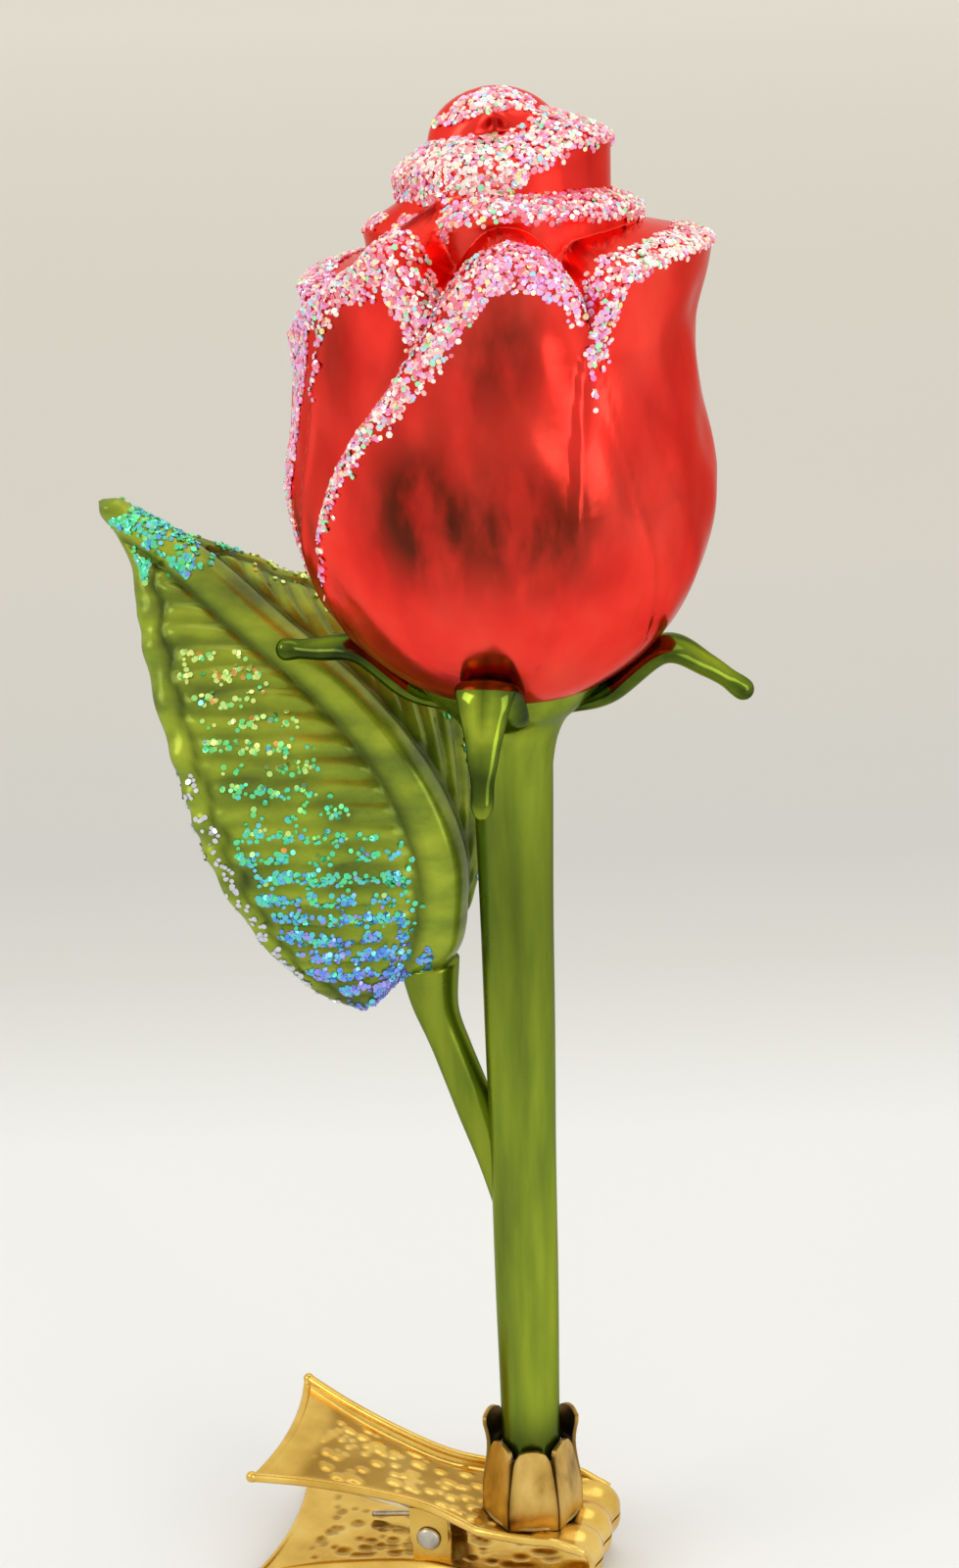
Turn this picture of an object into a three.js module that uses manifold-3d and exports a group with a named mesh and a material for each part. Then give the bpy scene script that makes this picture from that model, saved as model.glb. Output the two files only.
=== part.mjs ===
// Clip-on blown glass rose: a lacquered bud, sepals, stem and leaf in the crown of a sprung metal clip.
// Millimetres, +Z up. The origin is the middle of the twig space between the closed jaws, on the stem axis.
// The clip lies along X with its handles towards -X. The rose is turned on the clip by FLOWER_TURN.
import * as THREE from 'three';
import { mergeVertices } from 'three/addons/utils/BufferGeometryUtils.js';
import Module from 'manifold-3d';

const wasm = await Module();
wasm.setup();

// Clearances
const SEAT_GAP = 0.3;
const METAL_GAP = 0.15;

// Clip sizes
const SHEET = 0.6;
const GRIP_ROOM = 5.2;
const TAIL_REACH = 30;
const TAIL_WIDTH = 21;
const WAIST_WIDTH = 11;
const JAW_REACH = 8.6;
const HINGE_BACK = 11;
const UPPER_RISE = 6;
const LOWER_RISE = 0.8;
const RIM_HEIGHT = 1.1;
const RIM_WIDTH = 1.3;
const FISHTAIL = 1.4;
const TIP_WAVE = 0.45;
const TIP_WAVES = 3;
const EAR_RADIUS = 2.2;
const PIN_RADIUS = 0.8;
const PIN_HEAD = 0.6;
const WIRE_RADIUS = 0.35;
const SPRING_TURNS = 3.5;
const SPRING_LEG = 9;

// Crown and its fixings
const CROWN_ROOM = 1.7;
const CROWN_HEIGHT = 9.6;
const CROWN_SHEET = 0.5;
const CROWN_PETALS = 6;
const REAR_PETAL_EXTRA = 1.8;
const BACK_PETAL_EXTRA = 1.2;
const RIVET_RADIUS = 1.0;
const RIVET_FLANGE = 0.9;
const RIVET_HEAD = 0.45;
const GLUE_BED = 0.8;
const GLUE_HEIGHT = 6.4;

// Glass sizes
const FLOWER_TURN = 15.5;
const STEM_LENGTH = 91.5;
const STEM_FOOT_RADIUS = 3.15;
const STEM_TOP_RADIUS = 4.15;
const GLASS_WALL = 0.9;
const NECK_ROOM = 0.4;
const HOLLOW_ROOM = 0.4;
const BUD_RADIUS = 21.6;
const BELLY_HEIGHT = 24.2;
const BUD_HEIGHT = 61.7;
const BUD_ABOVE_STEM = 3.3;
const CALYX_DROP = 1.4;
const CALYX_WALL = 1.0;
const CALYX_RIM = 10;
const SEPAL_WIDTH = 6.8;
const SEPAL_THICKNESS = 2.8;
const SEPAL_TIP_RADIUS = 1.15;
const STALK_RADIUS = 2.1;
const STALK_FLARE = 3.0;
const STALK_DROP = 58;
const STALK_RISE = 28.7;
const LEAF_CLEAR = 1.2;
const LEAF_RISE = 48.7;
const LEAF_WIDTH = 22.6;
const LEAF_THICKNESS = 6.4;
const LOBE_DROP = 5;
const RIB_DEPTH = 0.5;
const RIB_PITCH = 3.9;
const MIDRIB_HEIGHT = 0.9;
const MIDRIB_HALF = 2.2;

// Levels worked out from the sizes
const INNER_FACE = GRIP_ROOM / 2;
const PLATE_TOP = INNER_FACE + SHEET;
const CROWN_FLOOR = PLATE_TOP + METAL_GAP;
const CROWN_RADIUS = STEM_FOOT_RADIUS + CROWN_ROOM + CROWN_SHEET + SEAT_GAP;
const JAW_WIDTH = 2 * (CROWN_RADIUS + SEAT_GAP + RIM_WIDTH);
const RIVET_TOP = CROWN_FLOOR + CROWN_SHEET + METAL_GAP + RIVET_HEAD;
const GLUE_FLOOR = RIVET_TOP + METAL_GAP;
const STEM_FOOT = GLUE_FLOOR + GLUE_BED + SEAT_GAP;
const STEM_TOP = STEM_FOOT + STEM_LENGTH;
const BUD_BASE = STEM_TOP + BUD_ABOVE_STEM;
const BUD_NECK = STEM_TOP_RADIUS + NECK_ROOM;
const RAD = Math.PI / 180;

// Colours
const RED_LACQUER = { color: 0xc81e1e, roughness: 0.25, metalness: 0.6 };
const GREEN_LACQUER = { color: 0x7a9016, roughness: 0.3, metalness: 0.5 };
const GOLD_PLATE = { color: 0xd6a93c, roughness: 0.3, metalness: 1 };
const OLD_BRASS = { color: 0xa9863f, roughness: 0.4, metalness: 1 };
const SPRING_STEEL = { color: 0x8f9092, roughness: 0.35, metalness: 1 };
const WHITE_GLUE = { color: 0xd9d6cc, roughness: 0.8, metalness: 0 };

// Small helpers
const clamp01 = (x) => Math.min(1, Math.max(0, x));
const mix = (a, b, t) => a + (b - a) * t;
function smooth(from, to, x) {
  const t = clamp01((x - from) / (to - from));
  return t * t * (3 - 2 * t);
}

// A smooth curve through points [x, y] in rising order of x, level beyond both ends
function curveThrough(points) {
  const last = points.length - 1;
  const slope = (i) => {
    const a = points[Math.max(0, i - 1)];
    const b = points[Math.min(last, i + 1)];
    return (b[1] - a[1]) / (b[0] - a[0]);
  };
  return (x) => {
    if (x <= points[0][0]) return points[0][1];
    if (x >= points[last][0]) return points[last][1];
    let i = 0;
    while (x > points[i + 1][0]) i += 1;
    const [x0, y0] = points[i];
    const [x1, y1] = points[i + 1];
    const w = x1 - x0;
    const t = (x - x0) / w;
    const bend = t * (1 - t) * w * (slope(i) * (1 - t) - slope(i + 1) * t);
    return mix(y0, y1, t * t * (3 - 2 * t)) + bend;
  };
}

// A closed body from rings of points, with a cap at each end
function loft(rings) {
  const count = rings[0].length;
  const points = rings.flat();
  const faces = [];
  for (let r = 0; r < rings.length - 1; r += 1) {
    for (let i = 0; i < count; i += 1) {
      const a = r * count + i;
      const b = r * count + ((i + 1) % count);
      faces.push(a, b, b + count, a, b + count, a + count);
    }
  }
  for (const [ring, turned] of [[0, true], [rings.length - 1, false]]) {
    const middle = new THREE.Vector3();
    rings[ring].forEach((p) => middle.addScaledVector(p, 1 / count));
    points.push(middle);
    for (let i = 0; i < count; i += 1) {
      const a = ring * count + i;
      const b = ring * count + ((i + 1) % count);
      faces.push(...(turned ? [b, a, points.length - 1] : [a, b, points.length - 1]));
    }
  }
  return bodyFrom(points, faces);
}

function bodyFrom(points, faces) {
  const geometry = new THREE.BufferGeometry();
  const flat = points.flatMap((p) => [p.x, p.y, p.z]);
  geometry.setAttribute('position', new THREE.Float32BufferAttribute(flat, 3));
  geometry.setIndex(faces);
  return geometry;
}

// Solids for cutting and joining
function solid(geometry) {
  const bare = geometry.clone();
  bare.deleteAttribute('normal');
  bare.deleteAttribute('uv');
  const merged = mergeVertices(bare, 1e-4);
  const mesh = new wasm.Mesh({
    numProp: 3,
    vertProperties: Float32Array.from(merged.attributes.position.array),
    triVerts: Uint32Array.from(merged.index.array),
  });
  return new wasm.Manifold(mesh);
}

function geometryOf(body) {
  const mesh = body.getMesh();
  const geometry = new THREE.BufferGeometry();
  geometry.setAttribute('position', new THREE.BufferAttribute(mesh.vertProperties, 3));
  geometry.setIndex(new THREE.BufferAttribute(mesh.triVerts, 1));
  return geometry;
}

// A body of revolution about Z from [radius, height] points
function turned(profile, segments = 28) {
  const points = profile.map(([r, z]) => new THREE.Vector2(r, z));
  return new THREE.LatheGeometry(points, segments).rotateX(Math.PI / 2);
}

function part(name, geometry, look) {
  const shaded = geometry.index ? geometry.toNonIndexed() : geometry;
  shaded.computeVertexNormals();
  const mesh = new THREE.Mesh(shaded, new THREE.MeshStandardMaterial(look));
  mesh.name = name;
  return mesh;
}

// Bud: nested petals, each with its own wall and its own rim round the flower.
// Angles are in degrees from the front of the flower, positive to its right.
// Heights are from the bud's base, on a bud 61.7 tall. UP brings them to this bud's height.
const UP = BUD_HEIGHT / 61.7;
const SHOULDER = (BUD_RADIUS * 17) / 18;
const PETAL_WALL = curveThrough([[BELLY_HEIGHT, BUD_RADIUS], [37 * UP, SHOULDER], [46 * UP, SHOULDER]]);
const PETAL_SWAY = 1.6;
const OUTER_PETALS = [
  { lift: 0.35, flare: 1.35,
    rim: [[8, 10], [14, 21.7], [18.5, 37], [22.5, 41], [26, 45.5], [34, 47.6], [90, 47.5],
      [110, 45.5], [130, 42.5], [145, 36], [155, 28], [163, 20], [172, 10]] },
  { lift: 0.2, flare: 0,
    rim: [[-78, 6], [-66, 14], [-54, 23.5], [-43.5, 30.8], [-31, 37], [-17.6, 44.3], [-7, 48.4],
      [3, 49.3], [14, 48], [23, 44], [30, 36], [40, 22], [50, 10]] },
  { lift: -0.9, flare: 0,
    rim: [[-92, 6], [-80, 12], [-70, 21.6], [-62, 33], [-57, 42], [-50, 46.3], [-44, 47.5],
      [-36, 50], [-30, 50], [-24, 47], [-17, 42], [-5, 30], [8, 16]] },
  { lift: -1.6, flare: 0,
    rim: [[-172, 10], [-160, 22], [-150, 31], [-138, 36], [-120, 38], [-100, 38.5], [-85, 39.5],
      [-70, 42.5], [-58, 45], [-48, 46.5], [-35, 45], [-20, 36], [-5, 20]] },
  { lift: -0.4, flare: 0.6,
    rim: [[100, 10], [112, 22], [124, 34], [138, 41], [150, 43.5], [165, 45.5], [185, 46], [200, 44.5],
      [212, 42.5], [230, 38.5], [240, 33], [252, 22], [262, 10]] },
  { lift: -2.6, flare: 0, rim: [[-180, 44], [180, 44]] },
];
const INNER_WHORLS = [
  { wall: BUD_RADIUS * 0.62, sway: 0.5,
    rim: [[-180, 49], [-120, 48], [-90, 49], [-60, 50.2], [-42, 50.4], [-30, 50.9], [-20, 51.7], [0, 52.3],
      [50, 52.2], [80, 51.2], [100, 50.6], [130, 49.6], [180, 49]] },
  { wall: BUD_RADIUS * 0.48, sway: 0.6,
    rim: [[-180, 54.5], [-120, 53.2], [-90, 54.2], [-60, 55.4], [-20, 56.4], [0, 56.6], [25, 57.4],
      [48, 58.4], [75, 58.2], [100, 57.2], [130, 55.3], [180, 54.5]] },
];
const HEART_WALL = BUD_RADIUS * 0.305;
const HEART_RIM = 56.2 * UP;
const HEART_TUCK = { depth: 1.9, angle: -2, halfAngle: 15, height: 58.3, halfHeight: 1.4 };

// Past its rim a wall turns inwards, by this many millimetres for each one up, after a round of this radius
const OUTER_LEDGE = 5;
const OUTER_ROUND = 0.8;
const WHORL_LEDGE = curveThrough([[-180, 3], [-90, 1.7], [-30, 2.4], [30, 4], [90, 4], [180, 3]]);
const WHORL_ROUND = 1.3;
const RIM_STEPS = 80;
for (const petal of [...OUTER_PETALS, ...INNER_WHORLS]) {
  const rim = petal.rim.map(([angle, h]) => [angle, h * UP]);
  const [first, last] = [rim[0][0], rim[rim.length - 1][0]];
  petal.rimAt = curveThrough(rim);
  petal.covers = (angle) => angle >= first && angle <= last;
  const angles = Array.from({ length: RIM_STEPS + 1 }, (_, i) => mix(first, last, i / RIM_STEPS));
  petal.track = angles.map((angle) => [angle, petal.rimAt(angle)]);
}

const bellyWall = (h) => BUD_RADIUS * Math.sqrt(Math.max(0, 1 - (1 - h / BELLY_HEIGHT) ** 2));
const petalWall = (h) => (h < BELLY_HEIGHT ? bellyWall(h) : PETAL_WALL(h));

// Distance of a point on a wall from a petal's rim, less than zero inside the petal
function pastRim(petal, angle, h, wall) {
  const perDegree = RAD * wall;
  let gap = Infinity;
  for (let i = 0; i < RIM_STEPS; i += 1) {
    const [startAngle, start] = petal.track[i];
    const [endAngle, end] = petal.track[i + 1];
    const step = new THREE.Vector2((endAngle - startAngle) * perDegree, end - start);
    const from = new THREE.Vector2((angle - startAngle) * perDegree, h - start);
    const t = clamp01(from.dot(step) / step.lengthSq());
    gap = Math.min(gap, from.distanceTo(step.multiplyScalar(t)));
  }
  return h > petal.rimAt(angle) ? gap : -gap;
}

// How far a wall has turned inwards at a distance past its rim
function turnedIn(past, ledge, round) {
  if (past < -round) return 0;
  return ledge * (past > round ? past : (past + round) ** 2 / (4 * round));
}

function budRadius(angle, h) {
  const shown = smooth(10 * UP, 36 * UP, h);
  const sway = PETAL_SWAY * Math.sin(angle * RAD) * shown;
  let radius = 0;
  for (const petal of OUTER_PETALS) {
    for (const around of [angle - 360, angle, angle + 360]) {
      if (!petal.covers(around)) continue;
      const lift = petal.lift + petal.flare * smooth(39 * UP, 46 * UP, h);
      const wall = petalWall(h) - sway + lift * shown;
      const past = pastRim(petal, around, h, BUD_RADIUS);
      radius = Math.max(radius, wall - turnedIn(past, OUTER_LEDGE, OUTER_ROUND));
    }
  }
  if (h < BELLY_HEIGHT) return radius;
  for (const whorl of INNER_WHORLS) {
    const wall = whorl.wall + whorl.sway * Math.sin(angle * RAD);
    const past = pastRim(whorl, angle, h, wall);
    radius = Math.max(radius, wall - turnedIn(past, WHORL_LEDGE(angle), WHORL_ROUND));
  }
  const dome = clamp01((h - HEART_RIM) / (BUD_HEIGHT - HEART_RIM));
  radius = Math.max(radius, HEART_WALL * Math.sqrt(1 - dome * dome));
  const tuckAcross = (angle - HEART_TUCK.angle) / HEART_TUCK.halfAngle;
  const tuckUp = (h / UP - HEART_TUCK.height) / HEART_TUCK.halfHeight;
  return radius - HEART_TUCK.depth * Math.exp(-(tuckAcross ** 2) - tuckUp ** 2);
}

// Height of the bud's underside above the bud's base, at a distance from the axis
const under = (r) => BELLY_HEIGHT * (1 - Math.sqrt(1 - (r / BUD_RADIUS) ** 2));

// Height of the highest outer rim at an angle
function outerRim(angle) {
  const rims = OUTER_PETALS.flatMap((petal) => [angle - 360, angle, angle + 360]
    .filter(petal.covers).map(petal.rimAt));
  return Math.max(...rims);
}

// Heights of the bud's rows at an angle. They follow the rims and lie closer together there.
function budRows(angle, count) {
  const lips = [outerRim(angle), ...INNER_WHORLS.map((whorl) => whorl.rimAt(angle))];
  const marks = [
    [0, under(BUD_NECK)], [0.07, 2 * UP], [0.15, 8 * UP],
    [0.5, lips[0] - 1.3], [0.66, lips[0] + 1.5],
    [0.71, lips[1] - 0.7], [0.79, lips[1] + 1],
    [0.82, lips[2] - 0.7], [0.9, lips[2] + 0.9],
    [0.96, BUD_HEIGHT - 0.5], [1, BUD_HEIGHT],
  ];
  for (let i = 1; i < marks.length; i += 1) marks[i][1] = Math.max(marks[i][1], marks[i - 1][1] + 0.2);
  return Array.from({ length: count }, (_, row) => {
    const share = row / count;
    const next = marks.findIndex(([at]) => at > share);
    const [low, from] = marks[next - 1];
    const [high, to] = marks[next];
    return mix(from, to, (share - low) / (high - low));
  });
}

// Radius of the bud's hollow at a height: clear of every wall that is near that height
function hollowRadius(h) {
  let least = Infinity;
  for (let angle = -180; angle < 180; angle += 6) {
    for (const up of [-1, 0, 1, 2]) least = Math.min(least, budRadius(angle, h + up));
  }
  return least - GLASS_WALL - HOLLOW_ROOM;
}

function roseBud() {
  const columns = 84;
  const rows = 42;
  const bore = BUD_NECK - GLASS_WALL;
  const rings = Array.from({ length: rows }, () => []);
  for (let c = 0; c < columns; c += 1) {
    const angle = -180 + (360 * c) / columns;
    budRows(angle, rows).forEach((h, row) => {
      const r = budRadius(angle, h);
      rings[row].push(new THREE.Vector3(r * Math.sin(angle * RAD), -r * Math.cos(angle * RAD), BUD_BASE + h));
    });
  }
  const inside = [[0, BUD_BASE - 2], [bore, BUD_BASE - 2]];
  for (const h of [1.5, 3, 6, 11, 17, 24, 32, 36, 40, 44, 47, 50, 53]) {
    inside.push([Math.max(bore, hollowRadius(h * UP)), BUD_BASE + h * UP]);
  }
  inside.push([0, BUD_BASE + 56.5 * UP]);
  return geometryOf(solid(loft(rings)).subtract(solid(turned(inside, 20))));
}

// Stem: a drawn tube, open at both ends
function stemRadius(z) {
  return mix(STEM_FOOT_RADIUS, STEM_TOP_RADIUS, clamp01((z - STEM_FOOT) / STEM_LENGTH));
}

function stem() {
  const levels = [0, 0.3, 0.6, 1].map((t) => STEM_FOOT + t * STEM_LENGTH);
  const profile = levels.map((z) => [stemRadius(z), z]);
  profile.push([STEM_TOP_RADIUS - GLASS_WALL, STEM_TOP]);
  profile.push([STEM_FOOT_RADIUS - GLASS_WALL, STEM_FOOT]);
  profile.push(profile[0]);
  return turned(profile, 24);
}

// Calyx: a flared collar from the stem's top to the bud's underside
function calyx() {
  const seat = (r) => [r, BUD_BASE + under(r) - SEAT_GAP - 0.05];
  const bore = STEM_TOP_RADIUS + SEAT_GAP;
  const foot = STEM_TOP - CALYX_DROP;
  const rim = seat(CALYX_RIM);
  const profile = [
    [bore, foot],
    [bore + CALYX_WALL * 0.8, foot],
    [bore + CALYX_WALL * 1.2, foot + CALYX_DROP],
    [mix(bore, CALYX_RIM, 0.75), mix(STEM_TOP, rim[1], 0.45)],
    [CALYX_RIM, rim[1] - 0.6],
    rim,
    seat(mix(bore, CALYX_RIM, 0.6)),
    seat(mix(bore, CALYX_RIM, 0.25)),
    [bore, seat(bore)[1]],
    [bore, foot],
  ];
  return turned(profile, 32);
}

// Sepals: tongues that lie on the bud's underside, leave it and end in a small ball
const SEPALS = [
  { name: 'sepal_front', angle: -9, beyond: 0, tip: -5.0 },
  { name: 'sepal_right', angle: 82, beyond: 3, tip: 0.6 },
  { name: 'sepal_back', angle: 172, beyond: 2.4, tip: 2.0 },
  { name: 'sepal_left', angle: -98, beyond: 2.6, tip: 4.8 },
];

function sepal({ angle, beyond, tip }) {
  const reach = BUD_RADIUS + beyond;
  const half = SEPAL_THICKNESS / 2;
  const hug = (r) => {
    const slope = ((BELLY_HEIGHT / BUD_RADIUS) * (r / BUD_RADIUS)) / Math.sqrt(1 - (r / BUD_RADIUS) ** 2);
    const away = half + SEAT_GAP + 0.15;
    const steep = Math.hypot(1, slope);
    return [r + (away * slope) / steep, under(r) - away / steep];
  };
  const root = CALYX_RIM + SEAT_GAP;
  const leave = BUD_RADIUS * 0.66;
  const off = hug(leave);
  const line = new THREE.CatmullRomCurve3([
    hug(root), hug(mix(root, leave, 0.5)), off,
    [mix(off[0], reach, 0.5), mix(off[1], tip, 0.36)], [reach, tip],
  ].map(([r, h]) => new THREE.Vector3(r, 0, BUD_BASE + h)));
  const width = curveThrough([[0, 0.6], [0.3, 1], [0.55, 0.9], [0.75, 0.62], [0.9, 0.3]]);
  const depth = curveThrough([[0, 0.6], [0.3, 1], [0.6, 0.9], [0.9, 0.6]]);
  const rings = [];
  const stations = 12;
  const sides = 10;
  for (let s = 0; s <= stations; s += 1) {
    const t = s / stations;
    const at = line.getPoint(t);
    const along = line.getTangent(t);
    const out = new THREE.Vector3(along.z, 0, -along.x);
    const ball = smooth(0.86, 0.93, t);
    const w = mix((SEPAL_WIDTH / 2) * width(t), SEPAL_TIP_RADIUS * (t > 0.97 ? 0.5 : 1), ball);
    const d = mix(half * depth(t), SEPAL_TIP_RADIUS * (t > 0.97 ? 0.5 : 1), ball);
    const ring = [];
    for (let i = 0; i < sides; i += 1) {
      const a = (2 * Math.PI * i) / sides;
      const p = at.clone().addScaledVector(out, d * Math.sin(a));
      p.y -= w * Math.cos(a);
      ring.push(p);
    }
    rings.push(ring);
  }
  return loft(rings).rotateZ((angle - 90) * RAD);
}

// Leaf stalk: a tube from the stem's side that flares into the leaf.
// Its points are shares of its rise, to the right, to the back and up from its root inside the stem.
const STALK_ROOT = new THREE.Vector3(-1.2, 0.6, STEM_TOP - STALK_DROP);
const STALK_LINE = new THREE.CatmullRomCurve3([
  [0, 0, 0], [-0.066, 0.028, 0.279], [-0.139, 0.056, 0.502], [-0.209, 0.087, 0.697], [-0.268, 0.115, 0.871],
  [-0.289, 0.124, 1],
].map(([x, y, z]) => new THREE.Vector3(x, y, z).multiplyScalar(STALK_RISE).add(STALK_ROOT)));

function tube(line, radiusAt, sides, stations, from = 0, to = 1) {
  const rings = [];
  for (let s = 0; s <= stations; s += 1) {
    const t = mix(from, to, s / stations);
    const at = line.getPoint(t);
    const along = line.getTangent(t);
    const side = new THREE.Vector3(0, 1, 0).cross(along).normalize();
    const front = along.clone().cross(side);
    const ring = [];
    for (let i = 0; i < sides; i += 1) {
      const a = (2 * Math.PI * i) / sides;
      const r = radiusAt(t);
      ring.push(at.clone().addScaledVector(side, r * Math.cos(a)).addScaledVector(front, r * Math.sin(a)));
    }
    rings.push(ring);
  }
  return loft(rings);
}

function leafStalk() {
  const radius = curveThrough([
    [0, STALK_RADIUS * 0.7], [0.35, STALK_RADIUS], [0.75, STALK_RADIUS], [1, STALK_FLARE],
  ]);
  const outer = solid(tube(STALK_LINE, radius, 14, 12));
  const bore = solid(tube(STALK_LINE, (t) => radius(t) - GLASS_WALL, 10, 12));
  const keepOff = [
    [0, STEM_FOOT], [STEM_FOOT_RADIUS + SEAT_GAP, STEM_FOOT],
    [STEM_TOP_RADIUS + SEAT_GAP, STEM_TOP], [0, STEM_TOP],
  ];
  return geometryOf(outer.subtract(bore).subtract(solid(turned(keepOff, 24))));
}

// Leaf: a hollow blown leaf, folded along a raised midrib and ribbed across
const LEAF_ROOT = STALK_LINE.getPoint(1).add(new THREE.Vector3(-0.15, 0.1, LEAF_CLEAR));
const MIDRIB = new THREE.CatmullRomCurve3([
  [0, 0, 0], [0.015, -0.007, 0.131], [0.015, -0.009, 0.269], [-0.042, 0.013, 0.421], [-0.163, 0.063, 0.575],
  [-0.328, 0.128, 0.715], [-0.471, 0.188, 0.844], [-0.582, 0.229, 0.926], [-0.672, 0.262, 1],
].map(([x, y, z]) => new THREE.Vector3(x, y, z).multiplyScalar(LEAF_RISE).add(LEAF_ROOT)));
const LEAF_LEFT = new THREE.Vector3(-0.985, -0.16, -0.06).normalize();
const LEAF_RIGHT = new THREE.Vector3(0.42, 0.86, 0.28).normalize();
const LEFT_SHARE = curveThrough([[0, 0.115], [0.05, 0.44], [0.13, 0.78], [0.24, 0.98], [0.36, 1], [0.5, 0.83],
  [0.62, 0.57], [0.72, 0.354], [0.8, 0.2], [0.9, 0.093], [0.96, 0.066], [1, 0.031]]);
const RIGHT_SHARE = curveThrough([[0, 0.106], [0.08, 0.265], [0.2, 0.51], [0.36, 0.686], [0.5, 0.68],
  [0.62, 0.5], [0.72, 0.3], [0.8, 0.168], [0.9, 0.093], [0.96, 0.066], [1, 0.031]]);
const LEAF_DEPTH = curveThrough([[0, 0.7], [0.12, 1], [0.5, 1], [0.8, 0.7], [0.92, 0.44], [0.97, 0.48],
  [1, 0.2]]);

// How far the left half hangs below its root, at a share of the leaf's width from the midrib
function lobeDrop(t, share) {
  const across = smooth(0.09, 0.36, share) * (1 - 0.6 * smooth(0.53, 0.97, share));
  return LOBE_DROP * across * (1 - smooth(0.02, 0.3, t));
}

function leafRing(t, sides, inset) {
  const at = MIDRIB.getPoint(t);
  const along = MIDRIB.getTangent(t);
  const leftFace = along.clone().cross(LEAF_LEFT).normalize();
  const rightFace = LEAF_RIGHT.clone().cross(along).normalize();
  const ring = [];
  for (let i = 0; i < sides; i += 1) {
    const a = (-2 * Math.PI * i) / sides;
    const across = Math.cos(a);
    const left = across < 0;
    const width = Math.max(0.3, LEAF_WIDTH * (left ? LEFT_SHARE(t) : RIGHT_SHARE(t)) - inset);
    const face = leftFace.clone().lerp(rightFace, smooth(-0.25, 0.25, across)).normalize();
    const out = Math.abs(across) * width;
    const p = at.clone().addScaledVector(left ? LEAF_LEFT : LEAF_RIGHT, out);
    if (left) p.z -= lobeDrop(t, out / LEAF_WIDTH);
    const body = Math.sign(Math.sin(a)) * Math.abs(Math.sin(a)) ** 0.7;
    let deep = Math.max(0.2, (LEAF_THICKNESS / 2) * LEAF_DEPTH(t) - inset) * body;
    if (inset === 0) {
      const ribbed = Math.abs(body) * smooth(1.5, 4, out) * smooth(0.02, 0.1, t) * (1 - smooth(0.7, 0.85, t));
      deep += Math.sign(body) * ribbed * RIB_DEPTH * Math.cos((2 * Math.PI * (p.z - PLATE_TOP)) / RIB_PITCH);
      deep += body * MIDRIB_HEIGHT * Math.exp(-((out / MIDRIB_HALF) ** 2)) * smooth(0, 0.1, t);
    }
    ring.push(p.addScaledVector(face, deep));
  }
  return ring;
}

function leaf() {
  const stations = 58;
  const outer = [];
  for (let s = 0; s <= stations; s += 1) outer.push(leafRing(s / stations, 20, 0));
  const inner = [];
  const first = leafRing(0, 12, GLASS_WALL);
  const along = MIDRIB.getTangent(0);
  inner.push(first.map((p) => p.clone().addScaledVector(along, -3)));
  for (const t of [0, 0.06, 0.14, 0.25, 0.4, 0.55, 0.7, 0.82]) inner.push(leafRing(t, 12, GLASS_WALL + 0.35));
  return geometryOf(solid(loft(outer)).subtract(solid(loft(inner))));
}

// Clip levers: two stampings with raised rims, fishtail handles, hinge ears and jaws turned in at the tip
const BEND_AT = 5;
const TIP_GAP = METAL_GAP;
const HALF_WIDTH = curveThrough([
  [-TAIL_REACH, TAIL_WIDTH / 2], [-TAIL_REACH * 0.8, TAIL_WIDTH * 0.385],
  [-TAIL_REACH * 0.56, WAIST_WIDTH * 0.56], [-HINGE_BACK, WAIST_WIDTH / 2],
  [-4, JAW_WIDTH * 0.475], [2, JAW_WIDTH / 2], [JAW_REACH, JAW_WIDTH * 0.43],
]);

// Inner face of a lever from tail to tip, as [x, z]
function leverLine(rise) {
  const line = [];
  const steps = 9;
  for (let i = 0; i < steps; i += 1) {
    const x = mix(-TAIL_REACH, -BEND_AT, i / steps);
    line.push([x, INNER_FACE + (rise * (-x - BEND_AT)) / (TAIL_REACH - BEND_AT)]);
  }
  for (const x of [-BEND_AT, -2, 1, 4]) line.push([x, INNER_FACE]);
  const round = INNER_FACE - 0.6;
  for (const a of [0, 22.5, 45, 67.5, 90]) {
    const x = JAW_REACH - SHEET - round + round * Math.sin(a * RAD);
    line.push([x, INNER_FACE - round + round * Math.cos(a * RAD)]);
  }
  line.push([JAW_REACH - SHEET, TIP_GAP]);
  return line;
}

function leverSheet(rise) {
  const line = leverLine(rise).map(([x, z]) => new THREE.Vector2(x, z));
  const rings = line.map((p, i) => {
    const before = line[Math.max(0, i - 1)];
    const after = line[Math.min(line.length - 1, i + 1)];
    const along = after.clone().sub(before).normalize();
    const out = new THREE.Vector2(-along.y, along.x);
    const half = HALF_WIDTH(p.x);
    const rim = RIM_HEIGHT * (1 - smooth(JAW_REACH - 5, JAW_REACH - 2, p.x));
    const flat = half - RIM_WIDTH;
    const across = [-half, -half + RIM_WIDTH * 0.5, -flat, -flat * 0.66, -flat * 0.33, 0,
      flat * 0.33, flat * 0.66, flat, half - RIM_WIDTH * 0.5, half];
    const tail = 1 - smooth(0, 3.5, i);
    const end = smooth(line.length - 2, line.length - 1, i);
    const place = (y, lift) => {
      const raised = rim * smooth(flat, half + RIM_WIDTH * 0.4, Math.abs(y)) + lift;
      const cut = tail * FISHTAIL * (1 - (y / half) ** 2);
      const wave = end * TIP_WAVE * (0.5 + 0.5 * Math.cos((2 * Math.PI * TIP_WAVES * y) / half));
      return new THREE.Vector3(p.x + out.x * raised + cut, y, p.y + out.y * raised + wave);
    };
    const top = across.map((y) => place(y, SHEET));
    const bottom = across.map((y) => place(y, 0)).reverse();
    return [...top, ...bottom];
  });
  return loft(rings.reverse());
}

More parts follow.
